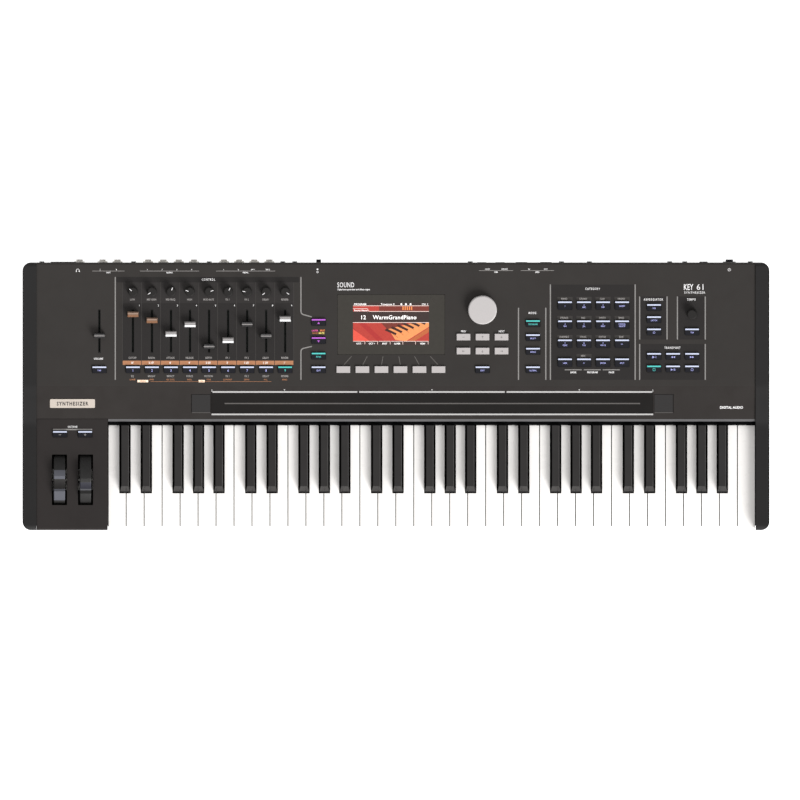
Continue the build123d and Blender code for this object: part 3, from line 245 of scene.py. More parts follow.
def key_plastic(name, top, side, gloss, roughness, specular, rim=None):
    """A moulded key: lacquer over its top, slope and front. Its side walls get the side tone and no lacquer: on
    white keys a painted shade for the gaps between keys, on black keys a near-black that is partly their bare
    plastic and partly painted shade. Given rim, the right-facing bevels get it as a painted highlight, and all
    below the given height gets the side tone as painted shade.
    """
    finish = Finish(name)
    geometry = finish.node("NewGeometry")
    split = finish.node("SeparateXYZ")
    finish.feed(split.inputs[0], geometry.outputs["True Normal"])
    # side-facing walls: the side tone painted on them is painted shade, and they get no lacquer
    shaded_wall = finish.math("GREATER_THAN", finish.math("ABSOLUTE", split.outputs[0]), SHADED_SIDE_FACING)
    clouds = finish.ramp(finish.noise(14, 4), scaled(top, 0.98), scaled(top, 1.02))
    # on black keys: rim is a painted highlight on right-facing bevels, and all below the foot height gets the side
    # tone as painted shade
    if rim:
        lit_bevel = finish.between(split.outputs[0], *LIT_BEVEL_FACING)
        foot = finish.math("LESS_THAN", finish.axis(2), SHADE_BELOW_Z * MM)
        clouds = finish.mix(foot, finish.mix(lit_bevel, clouds, rim), side)
    finish.put("Base Color", finish.mix(shaded_wall, clouds, side))
    worn = finish.ramp(finish.noise(45, 5), gloss * 0.9, gloss)
    finish.put("Coat Weight", finish.math("MULTIPLY", finish.math("SUBTRACT", 1.0, shaded_wall), worn))
    finish.put("Roughness", finish.ramp(finish.noise(90, 3), roughness - 0.05, roughness + 0.05))
    finish.put("Coat Roughness", roughness)
    finish.put("Specular IOR Level", specular)
    finish.normals(finish.noise(1400, 2), 0.004, 0.25)
    return finish.material


def panel_paint(name, upper, band_shade):
    """Textured powder coat on the bent panel, painted darker in front of its crease: painted shade on the sloping
    band.
    """
    finish = Finish(name)
    fine = finish.noise(2200, 2)
    clouds = finish.ramp(finish.noise(14, 4), 0.96, 1.04)
    in_front = finish.math("LESS_THAN", finish.axis(1), (CREASE_Y + CASE_Y) * MM)
    toned = finish.mix(in_front, upper, band_shade)
    finish.put("Base Color", finish.mix(1.0, toned, clouds, "MULTIPLY"))
    finish.put("Roughness", finish.ramp(finish.noise(45, 5), 0.6, 0.72))
    finish.put("Specular IOR Level", 0.2)
    finish.normals(fine, 0.012, 0.5)
    return finish.material


# how far a key wall must face sideways to get the painted shade tone, the sideways range of the painted bevel
# highlight, and the height in mm below which black keys are painted in shade
SHADED_SIDE_FACING, LIT_BEVEL_FACING, SHADE_BELOW_Z = 0.85, (0.3, 0.8), 66.4
# the second colour is painted shade on the sloping band in front of the crease
panel_coat = panel_paint("panel_coat", srgb(43, 40, 38), srgb(37, 33, 31))
block_plastic = moulded("block_plastic", srgb(36, 32, 31), 0.64, 1500, 0.02, 0.05, 0.5, 0.2)
cheek_plastic = moulded("cheek_plastic", srgb(26, 25, 25), 0.6, 1100, 0.01, 0.05, 0.5, 0.2)
case_steel = moulded("case_steel", srgb(32, 31, 30), 0.55, 1600, 0.02, 0.08, 0.4, 0.3)
dark_steel = moulded("dark_steel", srgb(20, 20, 20), 0.6, 900, 0.01, 0.08, 0.3, 0.2)
# the second colour of each key is painted shade for its side walls; the black key's last colour is a painted
# highlight on its right bevels
white_key = key_plastic("white_key", srgb(244, 241, 238), srgb(58, 54, 51), 0.5, 0.3, 0.4)
black_key = key_plastic("black_key", srgb(24, 21, 20), srgb(11, 10, 10), 1.0, 0.22, 0.0, srgb(84, 82, 81))
soft_black = moulded("soft_black", srgb(15, 15, 22), 0.5, 2200, 0.012, 0.05, 0.35, 0.2)
knob_black = moulded("knob_black", srgb(28, 26, 25), 0.6, 1800, 0.015, 0.05, 0.4, 0.2)
grey_cap = moulded("grey_cap", srgb(166, 161, 160), 0.45, 2000, 0.008, 0.02, 0.4, 0.4)
dial_grey = moulded("dial_grey", srgb(170, 166, 165), 0.4, 1600, 0.006, 0.015, 0.9, 0.45)
ivory = moulded("ivory", srgb(176, 166, 156), 0.3, 900, 0.004, 0.02, 0.3, 0.4, 0.2)
rubber = moulded("foot_rubber", srgb(30, 30, 30), 0.8, 900, 0.04, 0.1, 0.4, 0.25)
steel = metal("action_steel", srgb(176, 174, 170), 0.35, (0.05, 1, 1))
# the pots' metal is kept dark: painted shade for what shows down the fader slots
shaded_pot_metal = metal("pot_metal_shade", srgb(70, 70, 72), 0.5)
black_screw = metal("black_screw", srgb(60, 60, 62), 0.45)
# white, label and orange print glow a little: painted glow, as print is no lamp
white_ink = ink("white_ink", srgb(222, 220, 220), 0.55, 0.15)
line_ink = ink("line_ink", srgb(130, 127, 125))
hair_ink = ink("hair_ink", srgb(58, 55, 53))
lead_ink = ink("lead_ink", srgb(104, 100, 97))
label_ink = ink("label_ink", srgb(146, 142, 140), 0.55, 0.05)
orange_ink = ink("orange_ink", srgb(162, 112, 80), 0.6, 0.05)
zone_ink = ink("zone_ink", srgb(30, 27, 26), 0.66)
header_ink = ink("header_ink", srgb(26, 23, 22), 0.66)
tab_ink = ink("tab_ink", srgb(48, 45, 43), 0.66)
cell_ink = ink("cell_ink", srgb(38, 35, 34), 0.66)
# near-black ink for frames round the fader slots: painted shade
slot_shade_ink = ink("slot_shade_ink", srgb(7, 7, 7), 0.8)
felt = moulded("key_felt", srgb(6, 6, 7), 0.95, 3200, 0.1, 0.2, 0.0, 0.05)
# lighter grey laid along the lip's bend: painted highlight
lip_highlight_paint = moulded("lip_highlight_paint", srgb(76, 75, 76), 0.5, 1500, 0.01, 0.04, 0.0, 0.4)
glyph_lamp = ink("glyph_lamp", srgb(150, 152, 204), 0.5, 0.42)
white_lamp = ink("white_lamp", srgb(178, 184, 204), 0.4, 0.3)
teal_lamp = ink("teal_lamp", srgb(74, 172, 166), 0.4, 0.3)
purple_lamp = ink("purple_lamp", srgb(160, 84, 178), 0.4, 0.3)

# ---------------------------------------------------------------- building thin shapes
ZONE, CELL, HAIR, INK = 0.03, 0.05, 0.08, 0.11      # heights of the printed layers off the panel

def in_scene(name, data):
    item = bpy.data.objects.new(name, data)
    bpy.context.scene.collection.objects.link(item)
    return item


def add_piece(name, points, faces, material, body, slot):
    """One mesh piece in the frame, riding on a CAD body."""
    mesh = bpy.data.meshes.new(name)
    mesh.from_pydata([tuple(point) for point in points], [], faces)
    mesh.materials.append(material)
    mesh.validate()
    tidy = bmesh.new()
    tidy.from_mesh(mesh)
    bmesh.ops.delete(tidy, geom=[vertex for vertex in tidy.verts if not vertex.link_faces], context="VERTS")
    tidy.to_mesh(mesh)
    tidy.free()
    piece = in_scene(name, mesh)
    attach(piece, body)
    return piece


def rectangle(x0, y0, x1, y1):
    return [(x0, y0), (x1, y0), (x1, y1), (x0, y1)]


class Print:
    """Collects thin closed shapes of one finish and makes them one piece."""

    def __init__(self, surface=PANEL):
        self.surface = surface
        self.points = []
        self.faces = []

    def prism(self, outline, low, high):
        """A flat shape from its plan outline, counter-clockwise, between two heights off the surface."""
        first, count = len(self.points), len(outline)
        self.points += [self.surface.at(x, y, low) for x, y in outline]
        self.points += [self.surface.at(x, y, high) for x, y in outline]
        self.faces.append(tuple(range(first + count, first + 2 * count)))
        self.faces.append(tuple(reversed(range(first, first + count))))
        for i in range(count):
            after = (i + 1) % count
            self.faces.append((first + i, first + after, first + count + after, first + count + i))

    def box(self, x0, y0, x1, y1, low=0.0, high=HAIR):
        x0, x1 = sorted((x0, x1))
        y0, y1 = sorted((y0, y1))
        self.prism(rectangle(x0, y0, x1, y1), low, high)

    def line(self, points, width, low=0.0, high=HAIR):
        """A stroke of even width along plan points, with mitred corners."""
        sides = []
        for sign in (1, -1):
            side = []
            for i, point in enumerate(points):
                here = Vector(point)
                before = (here - Vector(points[i - 1])).normalized() if i else None
                after = (Vector(points[i + 1]) - here).normalized() if i + 1 < len(points) else None
                along = ((before or after) + (after or before)).normalized()
                spread = width / 2 / max(0.4, along.dot(after or before))
                side.append((here.x - sign * along.y * spread, here.y + sign * along.x * spread))
            sides.append(side)
        left, right = sides
        self.prism([*right, *reversed(left)], low, high)

    def plate(self, x0, y0, x1, y1, windows, high):
        """A flat sheet with windows, given as (x0, y0, x1, y1), left open in it."""
        inside = [w for w in windows if w[0] > x0 and w[2] < x1 and w[1] > y0 and w[3] < y1]
        xs = sorted({x0, x1, *[x for w in inside for x in (w[0], w[2])]})
        ys = sorted({y0, y1, *[y for w in inside for y in (w[1], w[3])]})
        first = len(self.points)
        self.points += [self.surface.at(x, y, level) for level in (0, high) for y in ys for x in xs]

        def corner(i, j, level):
            return first + (level * len(ys) + j) * len(xs) + i

        def solid(i, j):
            if not (0 <= i < len(xs) - 1 and 0 <= j < len(ys) - 1):
                return False
            x, y = (xs[i] + xs[i + 1]) / 2, (ys[j] + ys[j + 1]) / 2
            return not any(w[0] < x < w[2] and w[1] < y < w[3] for w in inside)

        for i in range(len(xs) - 1):
            for j in range(len(ys) - 1):
                if not solid(i, j):
                    continue
                around = [(i, j), (i + 1, j), (i + 1, j + 1), (i, j + 1)]
                self.faces.append(tuple(corner(*place, 1) for place in around))
                self.faces.append(tuple(corner(*place, 0) for place in reversed(around)))
                beyond = ((i, j - 1), (i + 1, j), (i, j + 1), (i - 1, j))
                for side, neighbour in enumerate(beyond):
                    if not solid(*neighbour):
                        a, b = around[side], around[(side + 1) % 4]
                        self.faces.append((corner(*a, 0), corner(*b, 0), corner(*b, 1), corner(*a, 1)))

    def disc(self, x, y, radius, low, high, sides=20):
        turn = 2 * math.pi / sides
        rim = [(x + radius * math.cos(turn * i), y + radius * math.sin(turn * i)) for i in range(sides)]
        self.prism(rim, low, high)

    def ring(self, x, y, radius, width, low, high, start=0, end=359, sides=20):
        steps = [math.radians(start + (end - start) * i / sides) for i in range(sides + 1)]
        self.line([(x + radius * math.cos(a), y + radius * math.sin(a)) for a in steps], width, low, high)

    def text(self, words, x, y, size, low=0.0, high=INK, align="CENTER", squeeze=1.0, spacing=1.0, bold=0.0):
        """Lettering of cap height size, centred on y, in the plain built-in face."""
        curve = bpy.data.curves.new("lettering", "FONT")
        curve.body = words
        curve.size = size / CAP_SHARE
        curve.align_x = align
        curve.resolution_u = 2
        curve.space_character = spacing
        curve.extrude = 0.5
        curve.offset = bold
        holder = bpy.data.objects.new("lettering", curve)
        mesh = bpy.data.meshes.new_from_object(holder)
        welded = bmesh.new()
        welded.from_mesh(mesh)
        bmesh.ops.remove_doubles(welded, verts=welded.verts, dist=0.0001)
        welded.to_mesh(mesh)
        welded.free()
        first = len(self.points)
        for vertex in mesh.vertices:
            height = low if vertex.co.z < 0 else high
            self.points.append(self.surface.at(x + vertex.co.x * squeeze, y + vertex.co.y - size / 2, height))
        self.faces += [tuple(first + i for i in polygon.vertices) for polygon in mesh.polygons]
        bpy.data.objects.remove(holder)
        bpy.data.curves.remove(curve)
        bpy.data.meshes.remove(mesh)

    def make(self, name, material, body="root", slot=None):
        slot = slot or ("panel_metal" if body == "root" else "control_plastic")
        return add_piece(name, self.points, self.faces, material, body, slot)


CAP_SHARE = 0.70      # cap height as a share of the face's size


def clip(outline, x0, y0, x1, y1):
    """The part of a plan outline that is inside a box."""
    for index, limit, keep_above in ((0, x0, True), (0, x1, False), (1, y0, True), (1, y1, False)):
        kept = []
        for i, point in enumerate(outline):
            last = outline[i - 1]
            inside = point[index] >= limit if keep_above else point[index] <= limit
            was_inside = last[index] >= limit if keep_above else last[index] <= limit
            if inside != was_inside:
                share = (limit - last[index]) / (point[index] - last[index])
                kept.append(tuple(last[k] + share * (point[k] - last[k]) for k in (0, 1)))
            if inside:
                kept.append(point)
        outline = kept
    return outline


# ---------------------------------------------------------------- where the controls are
def solids(node):
    """The vertices of each separate solid of a node, in millimetres of the plan."""
    mesh = nodes[node].data
    owner = {}
    key_of = []
    for vertex in mesh.vertices:
        key = tuple(round(value / MM, 2) for value in vertex.co)
        key_of.append(key)
        owner.setdefault(key, key)

    def root(key):
        while owner[key] != key:
            owner[key] = owner[owner[key]]
            key = owner[key]
        return key

    for edge in mesh.edges:
        a, b = (root(key_of[i]) for i in edge.vertices)
        owner[a] = b
    groups = {}
    for key in owner:
        groups.setdefault(root(key), []).append(Vector((key[0], key[1] - CASE_Y, key[2])))
    return list(groups.values())


LEGEND = 0.06      # thickness of the lettering on a cap


def middle_x(corners):
    """The plan x of the middle of a box given as its two corners."""
    low, high = corners
    return (low.x + high.x) / 2 / MM


class Cap:
    """The top face of a control, in plan: its edges, middle and height off its surface."""

    def __init__(self, points, surface):
        def height(point):
            away = Vector((point.x, point.y + CASE_Y, point.z)) * MM - surface.point
            return surface.normal.dot(away) / MM

        self.height = max(height(point) for point in points)
        self.face = (self.height, self.height + LEGEND)
        top = [point for point in points if height(point) > self.height - 0.1]
        self.left, self.right = min(p.x for p in top), max(p.x for p in top)
        self.front, self.rear = min(p.y for p in top), max(p.y for p in top)
        self.x, self.y = (self.left + self.right) / 2, (self.front + self.rear) / 2


def caps(node, surface=PANEL):
    """The caps of a button node, row by row from the rear, left to right in each row."""
    found = [Cap(points, surface) for points in solids(node)]
    return sorted(found, key=lambda cap: (-round(cap.y / 3), cap.x))


zone_caps = sorted(caps("zone_buttons"), key=lambda cap: cap.x)
mode_caps = caps("mode_buttons")
grey_caps = caps("cursor_buttons")
pad_caps = caps("category_buttons")
transport_caps = caps("transport_buttons")
transpose_caps = sorted(caps("transpose_buttons", BLOCK), key=lambda cap: cap.x)
column_x = [cap.x for cap in zone_caps[1:]]
COLUMN = (column_x[-1] - column_x[0]) / 8
VOLUME_X = zone_caps[0].x
dial_joint = joints["data_dial_turn"]
DIAL_X = dial_joint["pos_m"][0] / MM


# ---------------------------------------------------------------- finishes of the CAD nodes
dress("top_panel", panel_coat)
dress("wheel_panel", block_plastic)
for name in ("left_cheek", "right_cheek"):
    dress(name, cheek_plastic)
for name in ("bottom_pan", "rear_panel", "front_rail"):
    dress(name, case_steel)
for name in nodes:
    if name.startswith("keys_"):
        dress(name, black_key if name.endswith("sharp") else white_key)
for name in ("zone_buttons", "mode_buttons", "category_buttons", "transport_buttons", "transpose_buttons"):
    dress(name, soft_black)
dress("cursor_buttons", grey_cap)
dress("data_dial", dial_grey)
dress("rubber_feet", rubber)
dress("case_screws", black_screw)
dress("key_frame", dark_steel)
dress("wheel_bracket", steel)
dress("potentiometers", shaded_pot_metal)
dress("nameplate", ivory)
dress("gain_knob", knob_black)
dress("power_rocker", soft_black)
dress("circuit_boards", moulded("solder_mask", srgb(14, 40, 27), 0.4, 700, 0.01, 0.08, 0.2, 0.3))
dress("ribbon_controller", moulded("ribbon_film", srgb(21, 19, 18), 0.6, 2600, 0.006, 0.05, 0.3, 0.1))
dress("display", moulded("display_window", srgb(46, 43, 38), 0.2, 200, 0.0005, 0.02, 0.3, 0.3, 0.2))
for name in [f"knob_{number}" for number in range(1, 10)] + ["tempo_knob"]:
    dress(name, knob_black)


def socket_finish():
    """Black socket bodies with nickel bushings and nuts where the eleven jacks come through the back."""
    finish = Finish("socket_finish")
    outside = finish.math("GREATER_THAN", finish.axis(1), rear_face_y * MM)
    last_jack = max(mount["pos_m"][0] for mount in frame["record"]["mounts"] if mount["kind"] == "bore")
    jacks = finish.math("LESS_THAN", finish.axis(0), last_jack + 12 * MM)
    plated = finish.math("MULTIPLY", outside, jacks)
    tint = finish.ramp(finish.noise(300, 3), srgb(182, 178, 172), srgb(214, 211, 206))
    finish.put("Base Color", finish.mix(plated, srgb(34, 34, 35), tint))
    finish.put("Metallic", plated)
    finish.put("Roughness", finish.ramp(finish.noise(80, 3), 0.25, 0.4))
    finish.normals(None, 0, 0.25)
    return finish.material


dress("rear_sockets", socket_finish())


def wheel_finish(name, joint, notch_tilt, rear_highlight, front_highlight, highlight_tone, notch_painted_tone):
    """Moulded rubber with a finger notch, with painted light: lighter bands, in degrees from the notch's middle,
    are painted highlights where faces catch the light, and the notch between them is painted its own tone, a
    painted shade on the pitch wheel.
    """
    finish = Finish(name)
    centre = Vector(joints[joint]["pos_m"])
    ahead = finish.math("SUBTRACT", centre.y, finish.axis(1))
    up = finish.math("SUBTRACT", finish.axis(2), centre.z)
    angle = finish.math("SUBTRACT", finish.math("ARCTAN2", ahead, up), math.radians(notch_tilt))
    rear, front = [[math.radians(degrees) for degrees in band] for band in (rear_highlight, front_highlight)]
    highlight_bands = finish.math("ADD", finish.between(angle, -rear[1], -rear[0]), finish.between(angle, *front))
    speck = finish.noise(1600, 2)
    base = finish.ramp(speck, srgb(27, 26, 25), srgb(36, 35, 35))
    toned = finish.mix(highlight_bands, base, highlight_tone)
    finish.put("Base Color", finish.mix(finish.between(angle, -rear[0], front[0]), toned, notch_painted_tone))
    finish.put("Roughness", finish.ramp(finish.noise(120, 4), 0.5, 0.66))
    finish.put("Specular IOR Level", 0.25)
    finish.normals(speck, 0.015, 0.5)
    return finish.material


# each wheel gets painted highlight bands and a painted notch tone
dress("pitch_wheel", wheel_finish("pitch_rubber", "pitch_bend", 8, (9.6, 27.5), (11.7, 37),
                                  srgb(76, 77, 84), srgb(28, 26, 25)))
dress("mod_wheel", wheel_finish("mod_rubber", "modulation", 13, (7.2, 7.3), (7.4, 10.2),
                                srgb(84, 84, 88), srgb(40, 40, 49)))

# ---------------------------------------------------------------- lamps and lettering on the caps
LAMP_DEPTH = 1.9


def lamp(print_, cap, inset=0.15):
    """The light bar along the rear edge of a button cap."""
    x0, x1 = cap.left + inset, cap.right - inset
    print_.box(x0, cap.rear - LAMP_DEPTH, x1, cap.rear - 0.05, cap.height - 0.2, cap.height + 0.35)


def cap_text(print_, cap, words, size, shift=0.0, squeeze=0.86):
    middle = (cap.front + cap.rear - LAMP_DEPTH) / 2 + shift
    print_.text(words, cap.x, middle, size, *cap.face, squeeze=squeeze, spacing=1.05, bold=0.05)


def lamps(name, body, groups, surface=PANEL):
    """One piece for each colour of lamp on a button node."""
    for colour, (material, lit) in groups.items():
        bars = Print(surface)
        for cap in lit:
            lamp(bars, cap)
        bars.make(f"{name}_{colour}", material, body)


def legends(name, body, groups, surface=PANEL):
    """One piece for each colour of lettering on a button node. Entries: (cap, words, size, shift)."""
    for colour, (material, entries) in groups.items():
        letters = Print(surface)
        for cap, words, size, shift in entries:
            cap_text(letters, cap, words, size, shift)
        letters.make(f"{name}_{colour}", material, body)


# the ten buttons under the faders; the ninth zone is lit teal
lamps("zone_lamps", "zone_buttons", {
    "white": (white_lamp, zone_caps[:9]),
    "teal": (teal_lamp, zone_caps[9:]),
})
zone_words = [(cap, str(number), 3.2, 0) for number, cap in enumerate(zone_caps[1:9], start=1)]
legends("zone_legends", "zone_buttons", {
    "blue": (glyph_lamp, [(zone_caps[0], "VAR", 2.0, 0), *zone_words]),
    "teal": (teal_lamp, [(zone_caps[9], "9", 3.2, 0)]),
})

# layer, bank and edit buttons, then the mode column, then exit
layer_caps = sorted([cap for cap in mode_caps if cap.x < 0], key=lambda cap: -cap.y)
exit_cap = next(cap for cap in mode_caps if 0 < cap.x < DIAL_X + COLUMN)
mode_column = sorted([cap for cap in mode_caps if cap.x > DIAL_X + COLUMN], key=lambda cap: -cap.y)
lamps("mode_lamps", "mode_buttons", {
    "purple": (purple_lamp, layer_caps[:2]),
    "teal": (teal_lamp, [layer_caps[2], mode_column[0]]),
    "white": (white_lamp, [layer_caps[3], exit_cap, *mode_column[1:]]),
})
mode_words = zip(mode_column[1:], ("MULTI", "SONG", "GLOBAL"))
legends("mode_legends", "mode_buttons", {
    "teal": (teal_lamp, [(layer_caps[2], "BANK", 2.0, 0), (mode_column[0], "PROGRAM", 2.0, 0)]),
    "blue": (glyph_lamp, [(layer_caps[3], "EDIT", 2.0, 0), (exit_cap, "EXIT", 2.0, 0),
                          *[(cap, words, 2.0, 0) for cap, words in mode_words]]),
})
arrows = Print()
for cap, way in ((layer_caps[0], 1), (layer_caps[1], -1)):
    y = cap.y - 1.0
    head = [(cap.x - 1.7, y - 1.1 * way), (cap.x + 1.7, y - 1.1 * way), (cap.x, y + 1.5 * way)]
    arrows.prism(head if way > 0 else head[::-1], *cap.face)
arrows.make("layer_arrows", purple_lamp, "mode_buttons")

# the sixteen pads
lamps("pad_lamps", "category_buttons", {"white": (white_lamp, pad_caps)})
PAD_WORDS = (
    ("1",), ("2", "ABC"), ("3", "DEF"), ("INSERT",),
    ("4", "GHI"), ("5", "JKL"), ("6", "MNO"), ("CANCEL", "DELETE"),
    ("7", "PQRS"), ("8", "TUV"), ("9", "WXYZ"), ("+/-",),
    ("USER",), ("0",), ("ENTER",), ("SPLIT",),
)
pad_words = []
for cap, lines in zip(pad_caps, PAD_WORDS):
    for row, words in enumerate(lines):
        pad_words.append((cap, words, 1.9, (len(lines) - 1) * 1.4 - 2.8 * row + 0.3))
legends("pad_legends", "category_buttons", {"blue": (glyph_lamp, pad_words)})

# arpeggio, tap and transport buttons; stop is lit teal
arp_caps = [cap for cap in transport_caps if cap.y > 80]
play_caps = [cap for cap in transport_caps if cap.y < 80]
stop_cap = play_caps[3]
lamps("transport_lamps", "transport_buttons", {
    "teal": (teal_lamp, [stop_cap]),
    "white": (white_lamp, [cap for cap in transport_caps if cap is not stop_cap]),
})
arp_left = sorted([cap for cap in arp_caps if cap.x < DIAL_X + 9.8 * COLUMN], key=lambda cap: -cap.y)
tap_cap = next(cap for cap in arp_caps if cap not in arp_left)
legends("transport_legends", "transport_buttons", {
    "blue": (glyph_lamp, [(arp_left[0], "ON", 2.0, 0), (arp_left[1], "LATCH", 2.0, 0),
                          (tap_cap, "TAP", 2.0, 0)]),
})


def triangle(print_, x, y, size, way, cap):
    """A triangle that points right for way 1 or left for way -1."""
    half = size / 2
    outline = [(x - way * half, y - half), (x + way * half, y), (x - way * half, y + half)]
    print_.prism(outline if way > 0 else outline[::-1], *cap.face)


def upright(print_, x, y, tall, cap, wide=0.45):
    print_.box(x - wide / 2, y - tall / 2, x + wide / 2, y + tall / 2, *cap.face)


marks = Print()
y = play_caps[0].y - 1.0
upright(marks, play_caps[0].x - 2.2, y, 3.0, play_caps[0])
triangle(marks, play_caps[0].x - 0.4, y, 2.6, 1, play_caps[0])
upright(marks, play_caps[0].x + 2.4, y, 3.0, play_caps[0])
for shift in (-1.5, 1.3):
    triangle(marks, play_caps[1].x + shift, y, 2.5, -1, play_caps[1])
    triangle(marks, play_caps[2].x + shift, y, 2.5, 1, play_caps[2])
y = play_caps[4].y - 1.0
triangle(marks, play_caps[4].x - 1.5, y, 2.8, 1, play_caps[4])
for shift in (1.2, 2.4):
    upright(marks, play_caps[4].x + shift, y, 2.8, play_caps[4], 0.6)
marks.ring(play_caps[5].x, y, 1.5, 0.45, *play_caps[0].face)
marks.ring(arp_left[2].x, arp_left[2].y - 1.0, 1.2, 0.4, *play_caps[0].face)
marks.make("transport_marks", glyph_lamp, "transport_buttons")
stop_mark = Print()
x, y, half = stop_cap.x, stop_cap.y - 1.0, 1.4
square = rectangle(x - half, y - half, x + half, y + half)
stop_mark.line([*square, square[0]], 0.45, stop_cap.height, stop_cap.height + 0.06)
stop_mark.make("stop_mark", teal_lamp, "transport_buttons")

# transpose buttons on the wheel block
lamps("transpose_lamps", "transpose_buttons", {"white": (white_lamp, transpose_caps)}, BLOCK)
signs = Print(BLOCK)
for cap, plus in zip(transpose_caps, (False, True)):
    y = (cap.front + cap.rear - LAMP_DEPTH) / 2
    signs.box(cap.x - 1.5, y - 0.3, cap.x + 1.5, y + 0.3, *cap.face)
    if plus:
        signs.box(cap.x - 0.3, y - 1.5, cap.x + 0.3, y + 1.5, *cap.face)
signs.make("transpose_signs", label_ink, "transpose_buttons")

# grey cursor buttons: minus, up, plus above left, down, right
cursor_caps = [cap for cap in grey_caps if cap.y > 50]
glyph_grey = ink("glyph_grey", srgb(96, 92, 92))
cursor_marks = Print()
for cap, mark in zip(cursor_caps, ("minus", "up", "plus", "left", "down", "right")):
    if mark in ("minus", "plus"):
        cursor_marks.box(cap.x - 1.3, cap.y - 0.22, cap.x + 1.3, cap.y + 0.22, *cap.face)
        if mark == "plus":
            cursor_marks.box(cap.x - 0.22, cap.y - 1.3, cap.x + 0.22, cap.y + 1.3, *cap.face)
        continue
    way = Vector({"up": (0, 1), "down": (0, -1), "left": (-1, 0), "right": (1, 0)}[mark])
    side = Vector((-way.y, way.x))
    middle = Vector((cap.x, cap.y))
    tip = middle + way * 1.5
    cursor_marks.line([tuple(middle - way * 1.5), tuple(tip)], 0.4, *cap.face)
    cursor_marks.line([tuple(tip - way * 1.1 + side * 1.1), tuple(tip), tuple(tip - way * 1.1 - side * 1.1)],
                      0.4, *cap.face)
cursor_marks.make("cursor_marks", glyph_grey, "cursor_buttons", "grey_button_plastic")


# ---------------------------------------------------------------- faders and knobs
FADER_LOOKS = ("amber", "amber", "white", "white", "plain", "white", "plain", "plain", "white")


def fader_finish(name, node, look):
    """A satin cap: a lit one is painted with a rear tone behind its ridge, a front tone and a darker crest line,
    where a white cap's grey rear and the crest line are painted shade; a plain one has a thin line.
    """
    finish = Finish(name)
    points = [vertex.co for vertex in nodes[node].data.vertices]
    crest = max(PANEL.normal.dot(point) for point in points)
    top = [point for point in points if PANEL.normal.dot(point) > crest - 1.5 * MM]
    middle = (min(point.y for point in top) + max(point.y for point in top)) / 2
    y = finish.axis(1)
    speck = finish.noise(1900, 2)
    dark = finish.ramp(speck, srgb(30, 29, 29), srgb(42, 40, 40))
    off = finish.math("ABSOLUTE", finish.math("SUBTRACT", y, middle))
    if look == "plain":
        line = finish.math("LESS_THAN", off, 0.55 * MM)
        colour = finish.mix(line, dark, srgb(138, 134, 132))
    else:
        # a white cap's grey rear is painted shade, and the darker crest line on lit caps is painted shade
        rear, front, crest_shade = {
            "white": (srgb(122, 119, 118), srgb(226, 226, 226), srgb(74, 72, 72)),
            "amber": (srgb(124, 100, 84), srgb(132, 92, 64), srgb(92, 60, 38)),
        }[look]
        in_front = finish.math("LESS_THAN", y, middle - 0.2 * MM)
        on_crest_shade = finish.math("LESS_THAN", off, 0.3 * MM)
        colour = finish.mix(on_crest_shade, finish.mix(in_front, rear, front), crest_shade)
        finish.put("Emission Color", colour)
        finish.put("Emission Strength", 0.35 if look == "white" else 0.12)
    finish.put("Base Color", colour)
    finish.put("Roughness", finish.ramp(finish.noise(200, 3), 0.4, 0.55))
    finish.normals(speck, 0.008, 0.35)
    return finish.material


for number, look in enumerate(FADER_LOOKS, start=1):
    dress(f"fader_{number}", fader_finish(f"fader_cap_{number}", f"fader_{number}", look))
dress("volume_fader", fader_finish("volume_cap", "volume_fader", "plain"))

POINTER_START, POINTER_END, POINTER_WIDE = 2.2, 6.0, 0.8
for number in range(1, 10):
    joint = joints[f"knob_{number}_turn"]
    low_limit, high_limit = joint["range_deg"]
    turn = math.radians(-(low_limit + high_limit) / 2)
    hub = Vector(joint["pos_m"])
    x, y = hub.x / MM, hub.y / MM - CASE_Y
    crest = max(PANEL.normal.dot(vertex.co - hub) for vertex in nodes[f"knob_{number}"].data.vertices) / MM
    out = Vector((-math.sin(turn), math.cos(turn)))
    pointer = Print()
    start, end = Vector((x, y)) + out * POINTER_START, Vector((x, y)) + out * POINTER_END
    pointer.line([tuple(start), tuple(end)], POINTER_WIDE, crest - 0.5, crest + 0.08)
    pointer.make(f"knob_pointer_{number}", white_ink, f"knob_{number}")

# ---------------------------------------------------------------- print on the control panel
FRAME_TOP, FRAME_FOOT = 156.0, 21.6
HEADER_FOOT, KNOB_FOOT, FADER_FOOT = 149.0, 122.0, 47.0
CONTROL_LEFT, CONTROL_RIGHT = -367.0, -124.3
CELL_SHIFT = -1.3
BUTTON_ROOM, BUSH_ROOM = 0.4, 4.4
cell_x = [x + CELL_SHIFT for x in column_x]
cells_left, cells_right = cell_x[0] - COLUMN / 2, cell_x[-1] + COLUMN / 2


def foot_of(joint_name, node):
    """Plan position where a control's own axis meets the panel, at the middle of its travel."""
    low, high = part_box(node)
    middle = (low + high) / 2
    joint = joints[joint_name]
    if joint["type"] == "slide":
        middle += Vector(joint["axis"]) * sum(joint["range_m"]) / 2
    foot = middle - PANEL.normal * PANEL.normal.dot(middle - PANEL.point)
    return foot.x / MM, foot.y / MM - CASE_Y


def button_windows(group):
    return [(cap.left - BUTTON_ROOM, cap.front - BUTTON_ROOM, cap.right + BUTTON_ROOM, cap.rear + BUTTON_ROOM)
            for cap in group]


def bush_window(joint_name, node):
    x, y = foot_of(joint_name, node)
    return (x - BUSH_ROOM, y - BUSH_ROOM, x + BUSH_ROOM, y + BUSH_ROOM)


